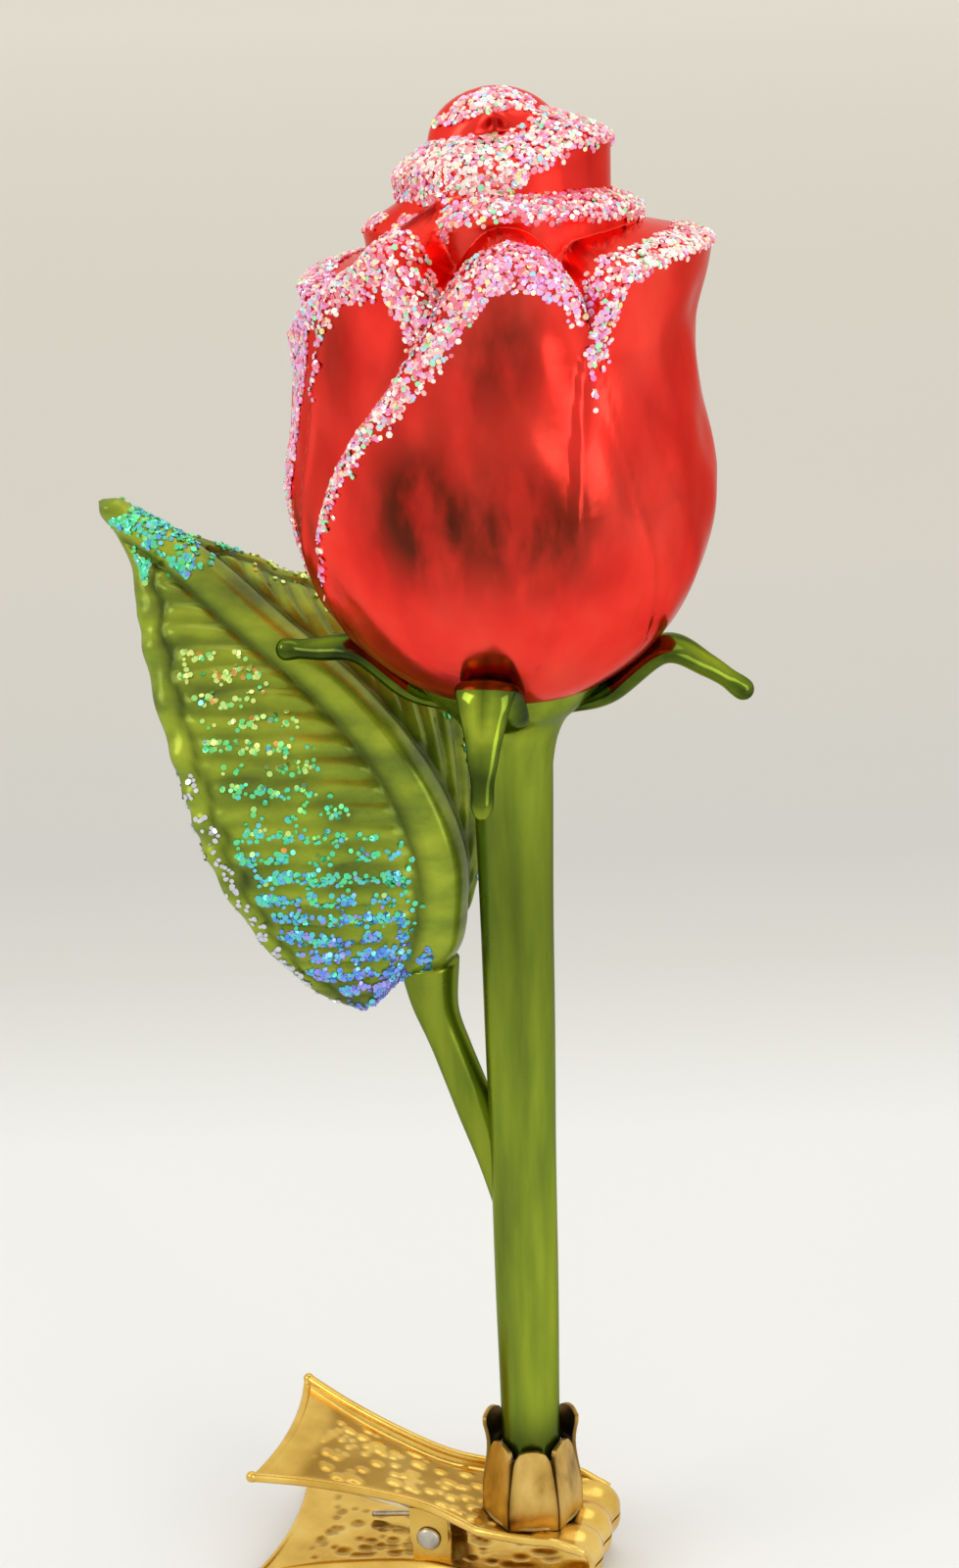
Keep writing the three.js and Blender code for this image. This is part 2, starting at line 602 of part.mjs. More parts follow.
// One hinge ear with its pin hole, hanging from a lever's inner face down to the pin
function ear(faceHeight, outerSide) {
  const shape = new THREE.Shape();
  shape.moveTo(EAR_RADIUS, faceHeight);
  shape.lineTo(-EAR_RADIUS, faceHeight);
  shape.absarc(0, 0, EAR_RADIUS, Math.PI, 2 * Math.PI, false);
  const hole = new THREE.Path();
  hole.absarc(0, 0, PIN_RADIUS + METAL_GAP, 0, 2 * Math.PI, true);
  shape.holes.push(hole);
  const blank = new THREE.ExtrudeGeometry(shape, { depth: SHEET, bevelEnabled: false, curveSegments: 10 });
  return blank.rotateX(Math.PI / 2).translate(-HINGE_BACK, outerSide, 0);
}

const riseAt = (rise) => (rise * (HINGE_BACK - BEND_AT)) / (TAIL_REACH - BEND_AT);
const HINGE_Z = (riseAt(UPPER_RISE) - riseAt(LOWER_RISE)) / 2;
const UPPER_EAR = WAIST_WIDTH / 2 - RIM_WIDTH * 0.5;
const LOWER_EAR = UPPER_EAR - SHEET - SEAT_GAP;

// What is cut from the levers and the crown for the rivet
function rivetHole() {
  const radius = RIVET_RADIUS + METAL_GAP;
  return solid(turned([[0, 0], [radius, 0], [radius, 2 * PLATE_TOP], [0, 2 * PLATE_TOP]], 16));
}

// One lever, jaw downwards, with its two ears round a pin at pinHeight
function lever(rise, earSide, pinHeight) {
  const reach = INNER_FACE + riseAt(rise) - pinHeight + SHEET * 0.5;
  let body = solid(leverSheet(rise));
  for (const side of [earSide, -earSide + SHEET]) {
    body = body.add(solid(ear(reach, side).translate(0, 0, pinHeight)));
  }
  return body.subtract(rivetHole());
}

function upperLever() {
  return geometryOf(lever(UPPER_RISE, UPPER_EAR, HINGE_Z));
}

function lowerLever() {
  return geometryOf(lever(LOWER_RISE, LOWER_EAR, -HINGE_Z).mirror([0, 0, 1]));
}

// Hinge pin with a head outside each upper ear
function hingePin() {
  const head = UPPER_EAR + METAL_GAP;
  const tip = head + PIN_HEAD;
  const big = PIN_RADIUS + PIN_HEAD;
  const profile = [[0, -tip], [big - 0.3, -tip], [big, -head - 0.2], [big, -head], [PIN_RADIUS, -head],
    [PIN_RADIUS, head], [big, head], [big, head + 0.2], [big - 0.3, tip], [0, tip]];
  return turned(profile, 16).rotateX(Math.PI / 2).translate(-HINGE_BACK, 0, HINGE_Z);
}

// Torsion spring: turns round the pin, with a leg along each handle
function springLine() {
  const radius = PIN_RADIUS + SEAT_GAP + WIRE_RADIUS + 0.05;
  const room = LOWER_EAR - SHEET - SEAT_GAP - WIRE_RADIUS;
  const points = [];
  const legEnd = (rise, up) => {
    const x = -HINGE_BACK - SPRING_LEG;
    const face = INNER_FACE + (rise * (-x - BEND_AT)) / (TAIL_REACH - BEND_AT);
    return [x, up * (face - SEAT_GAP - WIRE_RADIUS)];
  };
  const coil = (turn) => {
    const a = Math.PI / 2 - 2 * Math.PI * turn;
    const x = -HINGE_BACK + radius * Math.cos(a);
    return new THREE.Vector3(x, mix(-room, room, turn / SPRING_TURNS), HINGE_Z + radius * Math.sin(a));
  };
  const leg = (end, [x, z], parts) => parts
    .map((t) => new THREE.Vector3(mix(end.x, x, t), end.y, mix(end.z, z, t)));
  const evenly = [0.2, 0.5, 0.8, 0.9, 1];
  points.push(...leg(coil(0), legEnd(UPPER_RISE, 1), evenly).reverse());
  const steps = SPRING_TURNS * 8;
  for (let i = 0; i <= steps; i += 1) points.push(coil(i / 8));
  points.push(...leg(coil(SPRING_TURNS), legEnd(LOWER_RISE, -1), evenly));
  return points;
}

// The least free gap between parts of the spring that are not neighbours along the wire
function leastGap(points) {
  const line = new THREE.CatmullRomCurve3(points).getSpacedPoints(600);
  const skip = Math.ceil((3 * WIRE_RADIUS * Math.PI) / line[0].distanceTo(line[1]));
  let least = Infinity;
  for (let i = 0; i < line.length; i += 1) {
    for (let j = i + skip; j < line.length; j += 1) least = Math.min(least, line[i].distanceTo(line[j]));
  }
  return least - 2 * WIRE_RADIUS;
}

function torsionSpring() {
  const points = springLine();
  console.log(`spring least gap to itself ${leastGap(points).toFixed(2)} mm`);
  const section = new THREE.Shape();
  const sides = 5;
  for (let i = 0; i < sides; i += 1) {
    const a = (2 * Math.PI * i) / sides;
    const x = WIRE_RADIUS * Math.cos(a);
    const y = WIRE_RADIUS * Math.sin(a);
    if (i) section.lineTo(x, y);
    else section.moveTo(x, y);
  }
  const path = new THREE.CatmullRomCurve3(points);
  const steps = points.length - 1;
  return new THREE.ExtrudeGeometry(section, { steps, extrudePath: path, bevelEnabled: false });
}

// Crown: a floor with six stamped petals bent up round the stem
function crownPetal(index) {
  const angle = (index * 360) / CROWN_PETALS;
  const rear = index === 2 || index === 4;
  const back = index === 3;
  const height = CROWN_HEIGHT + (rear ? REAR_PETAL_EXTRA : 0) + (back ? BACK_PETAL_EXTRA : 0);
  const flat = CROWN_RADIUS * Math.cos(Math.PI / CROWN_PETALS);
  const top = Math.max(STEM_FOOT_RADIUS + SEAT_GAP + CROWN_SHEET + 0.15, flat * (rear ? 0.96 : 0.82));
  const outward = curveThrough([[0, flat], [0.3, flat + 0.2], [0.72, mix(flat, top, 0.65)], [1, top]]);
  const half = curveThrough([[0, CROWN_RADIUS * 0.47], [0.3, CROWN_RADIUS * 0.49],
    [0.75, CROWN_RADIUS * 0.415], [1, CROWN_RADIUS * 0.33]]);
  const rings = [0, 0.12, 0.3, 0.5, 0.72, 0.88, 1].map((t) => {
    const z = CROWN_FLOOR + t * height;
    const r = outward(t);
    const w = half(t);
    return [[w, r], [w, r - CROWN_SHEET], [-w, r - CROWN_SHEET], [-w, r]]
      .map(([x, y]) => new THREE.Vector3(x, -y, z));
  });
  return loft(rings).rotateZ(angle * RAD);
}

function crownSocket() {
  const flat = CROWN_RADIUS * 0.97;
  const top = CROWN_FLOOR + CROWN_SHEET;
  const floor = [[0, CROWN_FLOOR], [flat, CROWN_FLOOR], [flat, top], [0, top]];
  let body = solid(turned(floor, CROWN_PETALS).rotateZ(Math.PI / CROWN_PETALS + Math.PI / 2));
  for (let i = 0; i < CROWN_PETALS; i += 1) body = body.add(solid(crownPetal(i)));
  return geometryOf(body.subtract(rivetHole()));
}

// Rivet that fastens the crown to the upper lever
function crownRivet() {
  const wide = RIVET_RADIUS + RIVET_FLANGE;
  const low = INNER_FACE - METAL_GAP;
  const high = CROWN_FLOOR + CROWN_SHEET + METAL_GAP;
  return turned([[0, low - RIVET_HEAD], [wide - 0.4, low - RIVET_HEAD], [wide, low], [RIVET_RADIUS, low],
    [RIVET_RADIUS, high], [wide, high], [wide - 0.4, high + RIVET_HEAD], [0, high + RIVET_HEAD]], 16);
}

// Glue that beds the stem's foot in the crown
function glueSeat() {
  const inside = STEM_FOOT_RADIUS + SEAT_GAP + 0.08;
  const outside = CROWN_RADIUS * Math.cos(Math.PI / CROWN_PETALS) - CROWN_SHEET - SEAT_GAP;
  const top = GLUE_FLOOR + GLUE_HEIGHT;
  return turned([[0, GLUE_FLOOR], [outside, GLUE_FLOOR], [outside, GLUE_FLOOR + GLUE_HEIGHT * 0.4],
    [inside + 0.25, top], [inside, top], [inside, GLUE_FLOOR + GLUE_BED], [0, GLUE_FLOOR + GLUE_BED]], 24);
}

// Assembly
const rose = new THREE.Group();
rose.name = 'clip_on_rose';
const flower = new THREE.Group();
flower.name = 'flower';
flower.rotation.z = FLOWER_TURN * RAD;
flower.add(part('rose_bud', roseBud(), RED_LACQUER));
flower.add(part('calyx', calyx(), GREEN_LACQUER));
for (const one of SEPALS) flower.add(part(one.name, sepal(one), GREEN_LACQUER));
flower.add(part('stem', stem(), GREEN_LACQUER));
flower.add(part('leaf_stalk', leafStalk(), GREEN_LACQUER));
flower.add(part('leaf', leaf(), GREEN_LACQUER));
flower.add(part('crown_socket', crownSocket(), OLD_BRASS));
rose.add(flower);
rose.add(part('crown_rivet', crownRivet(), OLD_BRASS));
rose.add(part('glue_seat', glueSeat(), WHITE_GLUE));
rose.add(part('upper_lever', upperLever(), GOLD_PLATE));
rose.add(part('lower_lever', lowerLever(), GOLD_PLATE));
rose.add(part('hinge_pin', hingePin(), SPRING_STEEL));
rose.add(part('torsion_spring', torsionSpring(), SPRING_STEEL));

export default rose;
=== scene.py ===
import math

import bmesh
import bpy
import numpy as np
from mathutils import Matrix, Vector


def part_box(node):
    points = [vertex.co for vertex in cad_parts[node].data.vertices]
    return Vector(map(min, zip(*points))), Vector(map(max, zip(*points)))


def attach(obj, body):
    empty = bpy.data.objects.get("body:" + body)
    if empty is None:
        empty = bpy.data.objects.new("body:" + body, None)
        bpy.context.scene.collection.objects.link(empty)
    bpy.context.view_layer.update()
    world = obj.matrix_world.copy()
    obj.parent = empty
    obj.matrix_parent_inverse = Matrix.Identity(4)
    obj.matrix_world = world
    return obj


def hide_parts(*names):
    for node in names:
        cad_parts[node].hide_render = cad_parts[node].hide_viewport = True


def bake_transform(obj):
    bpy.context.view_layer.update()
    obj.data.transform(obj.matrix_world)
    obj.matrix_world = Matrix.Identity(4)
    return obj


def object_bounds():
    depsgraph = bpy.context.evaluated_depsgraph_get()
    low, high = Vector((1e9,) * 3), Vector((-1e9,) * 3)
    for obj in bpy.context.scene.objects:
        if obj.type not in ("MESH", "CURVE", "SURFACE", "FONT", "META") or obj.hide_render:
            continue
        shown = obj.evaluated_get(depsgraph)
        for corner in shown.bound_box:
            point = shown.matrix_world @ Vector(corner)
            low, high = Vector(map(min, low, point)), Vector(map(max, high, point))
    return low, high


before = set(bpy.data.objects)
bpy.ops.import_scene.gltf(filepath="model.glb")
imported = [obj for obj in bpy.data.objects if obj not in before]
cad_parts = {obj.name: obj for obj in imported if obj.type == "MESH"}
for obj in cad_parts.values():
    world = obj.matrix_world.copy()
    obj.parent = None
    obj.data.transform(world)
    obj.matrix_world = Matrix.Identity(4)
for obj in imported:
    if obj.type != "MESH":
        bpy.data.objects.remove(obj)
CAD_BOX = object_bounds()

# Sizes are in millimetres and are turned into metres when a mesh is made
MM = 0.001
RNG = np.random.default_rng(7)
ACROSS = np.array([0.0, 1.0, 0.0])
ALONG = np.array([1.0, 0.0, 0.0])

# Sizes shared by the whole rose
FLOWER_TURN = 15.5
PLATE_TOP = 3.2
STEM_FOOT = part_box("stem")[0].z / MM
STEM_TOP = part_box("stem")[1].z / MM
STEM_FOOT_RADIUS = 3.15
STEM_TOP_RADIUS = 4.15
BUD_BASE = STEM_TOP + 3.3
BUD_RADIUS = 21.6
BUD_HEIGHT = 61.7
BELLY_HEIGHT = 24.2
BUD_NECK = STEM_TOP_RADIUS + 0.4
CALYX_RIM = 10.0
SEAT_GAP = 0.3
METAL_GAP = 0.15
CROWN_FLOOR = PLATE_TOP + METAL_GAP
CROWN_RADIUS = 5.65


# Curves and grids
def mix(a, b, t):
    return a + (b - a) * t


def smooth(low, high, x):
    t = np.clip((x - low) / (high - low), 0, 1)
    return t * t * (3 - 2 * t)


def bell(x, middle, width):
    return np.exp(-(((x - middle) / width) ** 2))


def between(x, low, high):
    return (x > low) & (x < high)


def curve_through(points):
    """A smooth curve through [x, y] points, level beyond its ends."""
    xs, ys = np.array(points, float).T
    slopes = np.gradient(ys, xs, edge_order=1)
    slopes[1:-1] = (ys[2:] - ys[:-2]) / (xs[2:] - xs[:-2])

    def at(x):
        x = np.clip(x, xs[0], xs[-1])
        i = np.clip(np.searchsorted(xs, x) - 1, 0, len(xs) - 2)
        wide = xs[i + 1] - xs[i]
        t = (x - xs[i]) / wide
        bend = t * (1 - t) * wide * (slopes[i] * (1 - t) - slopes[i + 1] * t)
        return mix(ys[i], ys[i + 1], t * t * (3 - 2 * t)) + bend

    return at


def line_through(points):
    """A smooth line in space through points, for t from 0 to 1."""
    points = np.array(points, float)
    steps = np.arange(len(points))
    curves = [curve_through(np.column_stack([steps, points[:, k]])) for k in range(3)]
    return lambda t: np.stack([c(np.asarray(t) * steps[-1]) for c in curves], axis=-1)


def unit(v):
    return v / np.maximum(np.linalg.norm(v, axis=-1, keepdims=True), 1e-9)


def tangents(line, t):
    step = 1e-3
    return unit(line(np.minimum(t + step, 1)) - line(np.maximum(t - step, 0)))


def round_angles(count):
    return np.linspace(0, 2 * np.pi, count, endpoint=False)


def turned(points, degrees):
    """Points turned about Z."""
    a = math.radians(degrees)
    x, y = points[..., 0], points[..., 1]
    turned_x = x * math.cos(a) - y * math.sin(a)
    turned_y = x * math.sin(a) + y * math.cos(a)
    return np.stack([turned_x, turned_y, points[..., 2]], axis=-1)


def turned_with_flower(points):
    return turned(points, FLOWER_TURN)


# Meshes
def mesh_object(name, points, faces, material, sharp=None, values=None):
    """A mesh from points in mm. values are numbers kept at the points for the material to read."""
    mesh = bpy.data.meshes.new(name)
    mesh.from_pydata((np.asarray(points).reshape(-1, 3) * MM).tolist(), [], faces)
    shape = bmesh.new()
    shape.from_mesh(mesh)
    bmesh.ops.recalc_face_normals(shape, faces=shape.faces)
    shape.to_mesh(mesh)
    shape.free()
    for key, numbers in (values or {}).items():
        layer = mesh.attributes.new(key, "FLOAT", "POINT")
        layer.data.foreach_set("value", np.asarray(numbers, np.float32).ravel())
    mesh.shade_smooth()
    if sharp:
        mesh.set_sharp_from_angle(angle=math.radians(sharp))
    mesh.materials.append(material)
    made = bpy.data.objects.new(name, mesh)
    bpy.context.scene.collection.objects.link(made)
    return made


def ring_faces(rows, columns, closed=False):
    """Faces between rings of points. A closed body has its last ring joined to its first."""
    faces = []
    for r in range(rows if closed else rows - 1):
        low, high = r * columns, (r + 1) % rows * columns
        for c in range(columns):
            d = (c + 1) % columns
            faces.append((low + c, low + d, high + d, high + c))
    return faces


def loft_faces(rows, columns):
    """Faces of a closed body made of rings, with a cap at each end."""
    first = tuple(range(columns))
    last = tuple(range((rows - 1) * columns, rows * columns))
    return ring_faces(rows, columns) + [first[::-1], last]


def sheet_faces(rows, columns):
    """Faces of a thin sheet with its upper points first, then its lower points."""
    lower = rows * columns
    faces = []
    for r in range(rows - 1):
        for c in range(columns - 1):
            a = r * columns + c
            faces.append((a, a + 1, a + columns + 1, a + columns))
            faces.append((lower + a, lower + a + columns, lower + a + columns + 1, lower + a + 1))
    edge = list(range(columns))
    edge += [r * columns + columns - 1 for r in range(1, rows)]
    edge += [(rows - 1) * columns + c for c in range(columns - 2, -1, -1)]
    edge += [r * columns for r in range(rows - 2, 0, -1)]
    for a, b in zip(edge, edge[1:] + edge[:1]):
        faces.append((a, lower + a, lower + b, b))
    return faces


def rings_round(at, side, front, radius, sides):
    """Rings of points round places in space, each in the plane of its side and front."""
    a = round_angles(sides)[None, :, None]
    circle = np.cos(a) * side[:, None] + np.sin(a) * front[:, None]
    return at[:, None] + np.broadcast_to(radius, len(at))[:, None, None] * circle


def tube_rings(line, radius, sides, stations, beside=ACROSS):
    """Rings of points round a line in space that doesn't run beside's way. radius may differ by station."""
    t = np.linspace(0, 1, stations)
    along = tangents(line, t)
    side = unit(np.cross(beside, along))
    return rings_round(line(t), side, np.cross(along, side), radius, sides)


def lathe_rings(profile, sides):
    """Rings of points round Z from [radius, height] points."""
    profile = np.array(profile, float)
    a = round_angles(sides)
    r, z = profile[:, :1], profile[:, 1:]
    return np.stack([r * np.cos(a), r * np.sin(a), z + 0 * a], axis=-1)


def join(name, parts, material, sharp=None, values=None):
    """One mesh from several [points, faces] parts."""
    points, faces = [], []
    for some, these in parts:
        start = sum(len(p) for p in points)
        points.append(np.asarray(some).reshape(-1, 3))
        faces += [tuple(start + i for i in face) for face in these]
    return mesh_object(name, np.concatenate(points), faces, material, sharp, values)


def settle(made, body, slot, *nodes):
    """Fix a piece to its body, in place of the solids that it stands for. Its slot is not used."""
    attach(made, body)
    if nodes:
        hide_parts(*nodes)


# Materials
class Look:
    """A node material with short ways to add noise, ramps, stored values and bump."""

    def __init__(self, name):
        self.material = bpy.data.materials.new(name)
        self.material.use_nodes = True
        self.nodes = self.material.node_tree.nodes
        self.links = self.material.node_tree.links
        self.shader = self.nodes["Principled BSDF"]
        self.place = self.nodes.new("ShaderNodeTexCoord").outputs["Object"]

    def set(self, **sockets):
        for key, value in sockets.items():
            self.shader.inputs[key.replace("_", " ")].default_value = value

    def link(self, output, socket):
        self.links.new(output, self.shader.inputs[socket])

    def noise(self, size, detail=3, stretch=(1, 1, 1)):
        """Cloudy noise with features of about this size in mm."""
        mapping = self.nodes.new("ShaderNodeMapping")
        mapping.inputs["Scale"].default_value = stretch
        self.links.new(self.place, mapping.inputs["Vector"])
        made = self.nodes.new("ShaderNodeTexNoise")
        made.inputs["Scale"].default_value = 1 / (size * MM)
        made.inputs["Detail"].default_value = detail
        self.links.new(mapping.outputs["Vector"], made.inputs["Vector"])
        return made.outputs["Fac"]

    def stored(self, key):
        made = self.nodes.new("ShaderNodeAttribute")
        made.attribute_name = key
        return made.outputs["Fac"]

    def ramp(self, source, *stops, steps=False):
        made = self.nodes.new("ShaderNodeValToRGB")
        made.color_ramp.interpolation = "CONSTANT" if steps else "LINEAR"
        elements = made.color_ramp.elements
        while len(elements) < len(stops):
            elements.new(1)
        for element, (at, colour) in zip(elements, stops):
            element.position = at
            element.color = (*colour, 1)
        self.links.new(source, made.inputs["Fac"])
        return made.outputs["Color"]

    def level(self, source, low, high, start=0, end=1):
        """A value that goes from low to high as the source goes from start to end."""
        made = self.nodes.new("ShaderNodeMapRange")
        made.inputs["From Min"].default_value = start
        made.inputs["From Max"].default_value = end
        made.inputs["To Min"].default_value = low
        made.inputs["To Max"].default_value = high
        self.links.new(source, made.inputs["Value"])
        return made.outputs["Result"]

    def blend(self, how, amount, a, b):
        made = self.nodes.new("ShaderNodeMix")
        made.data_type = "RGBA"
        made.blend_type = how
        for socket, value in ((made.inputs[0], amount), (made.inputs[6], a), (made.inputs[7], b)):
            if isinstance(value, (int, float)):
                socket.default_value = value
            elif isinstance(value, tuple):
                socket.default_value = (*value, 1)
            else:
                self.links.new(value, socket)
        return made.outputs[2]

    def colour(self, tone, folded=None):
        """Link a tone to the base colour, times another one where painted shade is stored."""
        if folded:
            deep = self.ramp(self.stored("painted_shade"), (0, (1, 1, 1)), (1, folded))
            tone = self.blend("MULTIPLY", 1.0, tone, deep)
        self.link(tone, "Base Color")

    def roughness(self, source, low, high):
        self.link(self.level(source, low, high), "Roughness")

    def bump(self, height, strength, depth):
        made = self.nodes.new("ShaderNodeBump")
        made.inputs["Strength"].default_value = strength
        made.inputs["Distance"].default_value = depth * MM
        self.links.new(height, made.inputs["Height"])
        self.links.new(made.outputs["Normal"], self.shader.inputs["Normal"])


def red_lacquer():
    """Red lacquer over silvering, with painted dark reflections in places and painted shade in the folds."""
    look = Look("red_lacquer")
    cloud = look.noise(9, 4, (1, 1, 0.6))
    red = look.ramp(cloud, (0.3, (0.80, 0.020, 0.014)), (0.5, (0.97, 0.042, 0.028)),
                    (0.72, (1.0, 0.075, 0.046)))
    # Painted dark reflections: near-black red where the bud stores them, broken up by noise.
    patches = look.ramp(look.noise(5, 6, (1.4, 1.4, 0.6)), (0.34, (0.5, 0.5, 0.5)), (0.56, (1, 1, 1)))
    painted_dark_reflection = look.blend("MULTIPLY", 1.0, look.stored("painted_dark_reflection"), patches)
    red = look.blend("MIX", painted_dark_reflection, red, (0.11, 0.014, 0.004))
    look.colour(red, folded=(0.42, 0.22, 0.2))
    look.roughness(look.noise(5, 3), 0.14, 0.32)
    look.set(Metallic=1.0, Specular_Tint=(0.85, 0.44, 0.42, 1), Coat_Weight=0.14, Coat_Roughness=0.1)
    look.bump(look.noise(3.2, 2), 0.22, 0.25)
    return look.material


GREEN_MIDDLE = (0.17, 0.22, 0.016)
GREEN_TONES = [(0.28, (0.045, 0.065, 0.012)), (0.45, (0.13, 0.18, 0.014)), (0.58, (0.21, 0.27, 0.018)),
               (0.78, (0.33, 0.37, 0.035))]


def green_lacquer(name, shade, stretch, cloud, metal=0.9, rough=(0.2, 0.38)):
    """Green lacquer over silvering. cloud is how far its tones depart from the middle one."""
    look = Look(name)
    stops = []
    for at, tone in GREEN_TONES:
        mixed = [shade * mix(middle, c, cloud) for middle, c in zip(GREEN_MIDDLE, tone)]
        stops.append((at, tuple(mixed)))
    green = look.ramp(look.noise(4, 4, stretch), *stops)
    # Painted shade darkens the green where the mesh stores it.
    look.colour(green, folded=(0.2, 0.24, 0.2))
    look.roughness(look.noise(3, 3), *rough)
    look.set(Metallic=metal, Specular_Tint=(0.4, 0.42, 0.25, 1), Coat_Weight=0.13, Coat_Roughness=0.12)
    look.bump(look.noise(2.4, 2, stretch), 0.2, 0.2)
    return look.material


# The places of the rose, lilac and cream flakes among the opal colours
ROSE_BAND = (0, 0.28)
LILAC_BAND = (0.48, 0.6)
CREAM_BAND = (0.6, 0.8)


def opal_flakes():
    """Rose, pink and cream flakes with a few of each rainbow colour."""
    look = Look("opal_flakes")
    colour = look.ramp(
        look.stored("flake"), (ROSE_BAND[0], (0.92, 0.24, 0.32)), (ROSE_BAND[1], (1.0, 0.60, 0.58)),
        (LILAC_BAND[0], (0.90, 0.48, 0.84)), (CREAM_BAND[0], (1.0, 0.92, 0.84)),
        (CREAM_BAND[1], (0.48, 0.84, 0.94)),
        (0.86, (0.40, 0.92, 0.52)), (0.92, (0.97, 0.92, 0.42)), (0.96, (0.94, 0.26, 0.64)), steps=True)
    look.colour(colour)
    look.roughness(look.stored("flake"), 0.3, 0.12)
    look.set(Metallic=0.55, Coat_Weight=0.5, Coat_Roughness=0.08)
    look.bump(look.noise(0.4, 2), 0.15, 0.05)
    return look.material


# The last of the coloured leaf flakes, after which they turn pale
BLUEST = 0.9


def sea_flakes():
    """Flakes from yellow-green through sea green to blue, and pale ones."""
    look = Look("sea_flakes")
    colour = look.ramp(
        look.stored("flake"), (0, (0.72, 0.90, 0.26)), (0.2, (0.16, 0.74, 0.20)), (0.42, (0.10, 0.76, 0.42)),
        (0.6, (0.14, 0.62, 0.78)), (0.78, (0.10, 0.30, 0.90)), (BLUEST, (0.34, 0.32, 0.88)),
        (1, (0.62, 0.64, 0.72)))
    look.colour(colour)
    look.roughness(look.noise(0.5, 1), 0.12, 0.34)
    look.set(Metallic=0.75, Coat_Weight=0.4, Coat_Roughness=0.1)
    return look.material


def gold_plate():
    look = Look("gold_plate")
    tone = look.ramp(look.noise(6, 4), (0.3, (0.62, 0.38, 0.07)), (0.55, (0.80, 0.53, 0.12)),
                     (0.8, (0.90, 0.66, 0.22)))
    # Painted shade darkens the gold where the mesh stores it.
    look.colour(tone, folded=(0.34, 0.26, 0.16))
    look.roughness(look.noise(1.2, 4), 0.14, 0.34)
    look.set(Metallic=1.0)
    look.bump(look.noise(0.8, 3), 0.18, 0.08)
    return look.material


def old_brass():
    look = Look("old_brass")
    tone = look.ramp(look.noise(3, 5, (1, 1, 0.5)), (0.28, (0.24, 0.14, 0.035)), (0.46, (0.58, 0.36, 0.085)),
                     (0.75, (0.84, 0.58, 0.18)))
    # Painted shade darkens the brass where the mesh stores it.
    look.colour(tone, folded=(0.1, 0.08, 0.06))
    look.roughness(look.noise(1.6, 4), 0.22, 0.46)
    look.set(Metallic=1.0)
    look.bump(look.noise(0.6, 4), 0.25, 0.08)
    return look.material


def spring_steel():
    look = Look("spring_steel")
    tone = look.ramp(look.noise(1.5, 4), (0.3, (0.34, 0.31, 0.26)), (0.7, (0.62, 0.59, 0.52)))
    look.colour(tone)
    look.roughness(look.noise(0.7, 3), 0.22, 0.42)
    look.set(Metallic=1.0)
    look.bump(look.noise(0.3, 3, (1, 6, 1)), 0.2, 0.03)
    return look.material


def set_glue():
    look = Look("set_glue")
    tone = look.ramp(look.noise(1.4, 4), (0.35, (0.30, 0.32, 0.28)), (0.6, (0.70, 0.70, 0.64)),
                     (0.8, (0.84, 0.84, 0.8)))
    look.colour(tone)
    look.roughness(look.noise(0.8, 3), 0.3, 0.6)
    look.set(Subsurface_Weight=0.2)
    look.bump(look.noise(0.7, 4), 0.6, 0.3)
    return look.material


# Bud: nested petals, each with its lift off the shared wall, its rim and the width of frost along that rim.
# Angles are in degrees from the flower's front, heights are from the bud's base.
PETAL_SWAY = 1.6
SHOULDER = BUD_RADIUS * 17 / 18
PETAL_WALL = curve_through([[BELLY_HEIGHT, BUD_RADIUS], [37, SHOULDER], [46, SHOULDER]])
OUTER_PETALS = [
    {"lift": 0.35, "flare": 1.35,
     "rim": [[8, 10], [14, 21.7], [18.5, 37], [22.5, 41], [26, 45.5], [34, 47.6], [90, 47.5],
             [110, 45.5], [130, 42.5], [145, 36], [155, 28], [163, 20], [172, 10]],
     "frost": [[22, 0], [24.5, 2.2], [28, 2.8], [33, 1.6], [40, 0.7], [90, 0.8], [125, 1.5], [145, 2],
               [160, 0]]},
    {"lift": 0.2, "flare": 0,
     "rim": [[-78, 6], [-66, 14], [-54, 23.5], [-43.5, 30.8], [-31, 37], [-17.6, 44.3], [-7, 48.4],
             [3, 49.3], [14, 48], [23, 44], [30, 36], [40, 22], [50, 10]],
     "frost": [[-68, 0], [-54, 1.0], [-43, 1.8], [-31, 2.3], [-17, 3], [-5, 3.2], [8, 2.8], [18, 1.8],
               [23, 0]]},
    {"lift": -0.9, "flare": 0,
     "rim": [[-92, 6], [-80, 12], [-70, 21.6], [-62, 33], [-57, 42], [-50, 46.3], [-44, 47.5],
             [-36, 50], [-30, 50], [-24, 47], [-17, 42], [-5, 30], [8, 16]],
     "frost": [[-62, 0], [-56, 1], [-48, 2.2], [-36, 3.4], [-24, 3.4], [-17, 2.8], [-8, 1.6], [0, 0]]},
    {"lift": -1.6, "flare": 0,
     "rim": [[-172, 10], [-160, 22], [-150, 31], [-138, 36], [-120, 38], [-100, 38.5], [-85, 39.5],
             [-70, 42.5], [-58, 45], [-48, 46.5], [-35, 45], [-20, 36], [-5, 20]],
     "frost": [[-165, 0], [-150, 1.2], [-138, 2.4], [-110, 2.8], [-85, 3.2], [-65, 2.8], [-50, 1.6],
               [-40, 0]]},
    {"lift": -0.4, "flare": 0.6,
     "rim": [[100, 10], [112, 22], [124, 34], [138, 41], [150, 43.5], [165, 45.5], [185, 46], [200, 44.5],
             [212, 42.5], [230, 38.5], [240, 33], [252, 22], [262, 10]],
     "frost": [[108, 0], [124, 1.6], [145, 2.6], [185, 3], [215, 2.6], [240, 1.4], [256, 0]]},
    {"lift": -2.6, "flare": 0, "rim": [[-180, 44], [180, 44]], "frost": [[-180, 0.7], [180, 0.7]]},
]
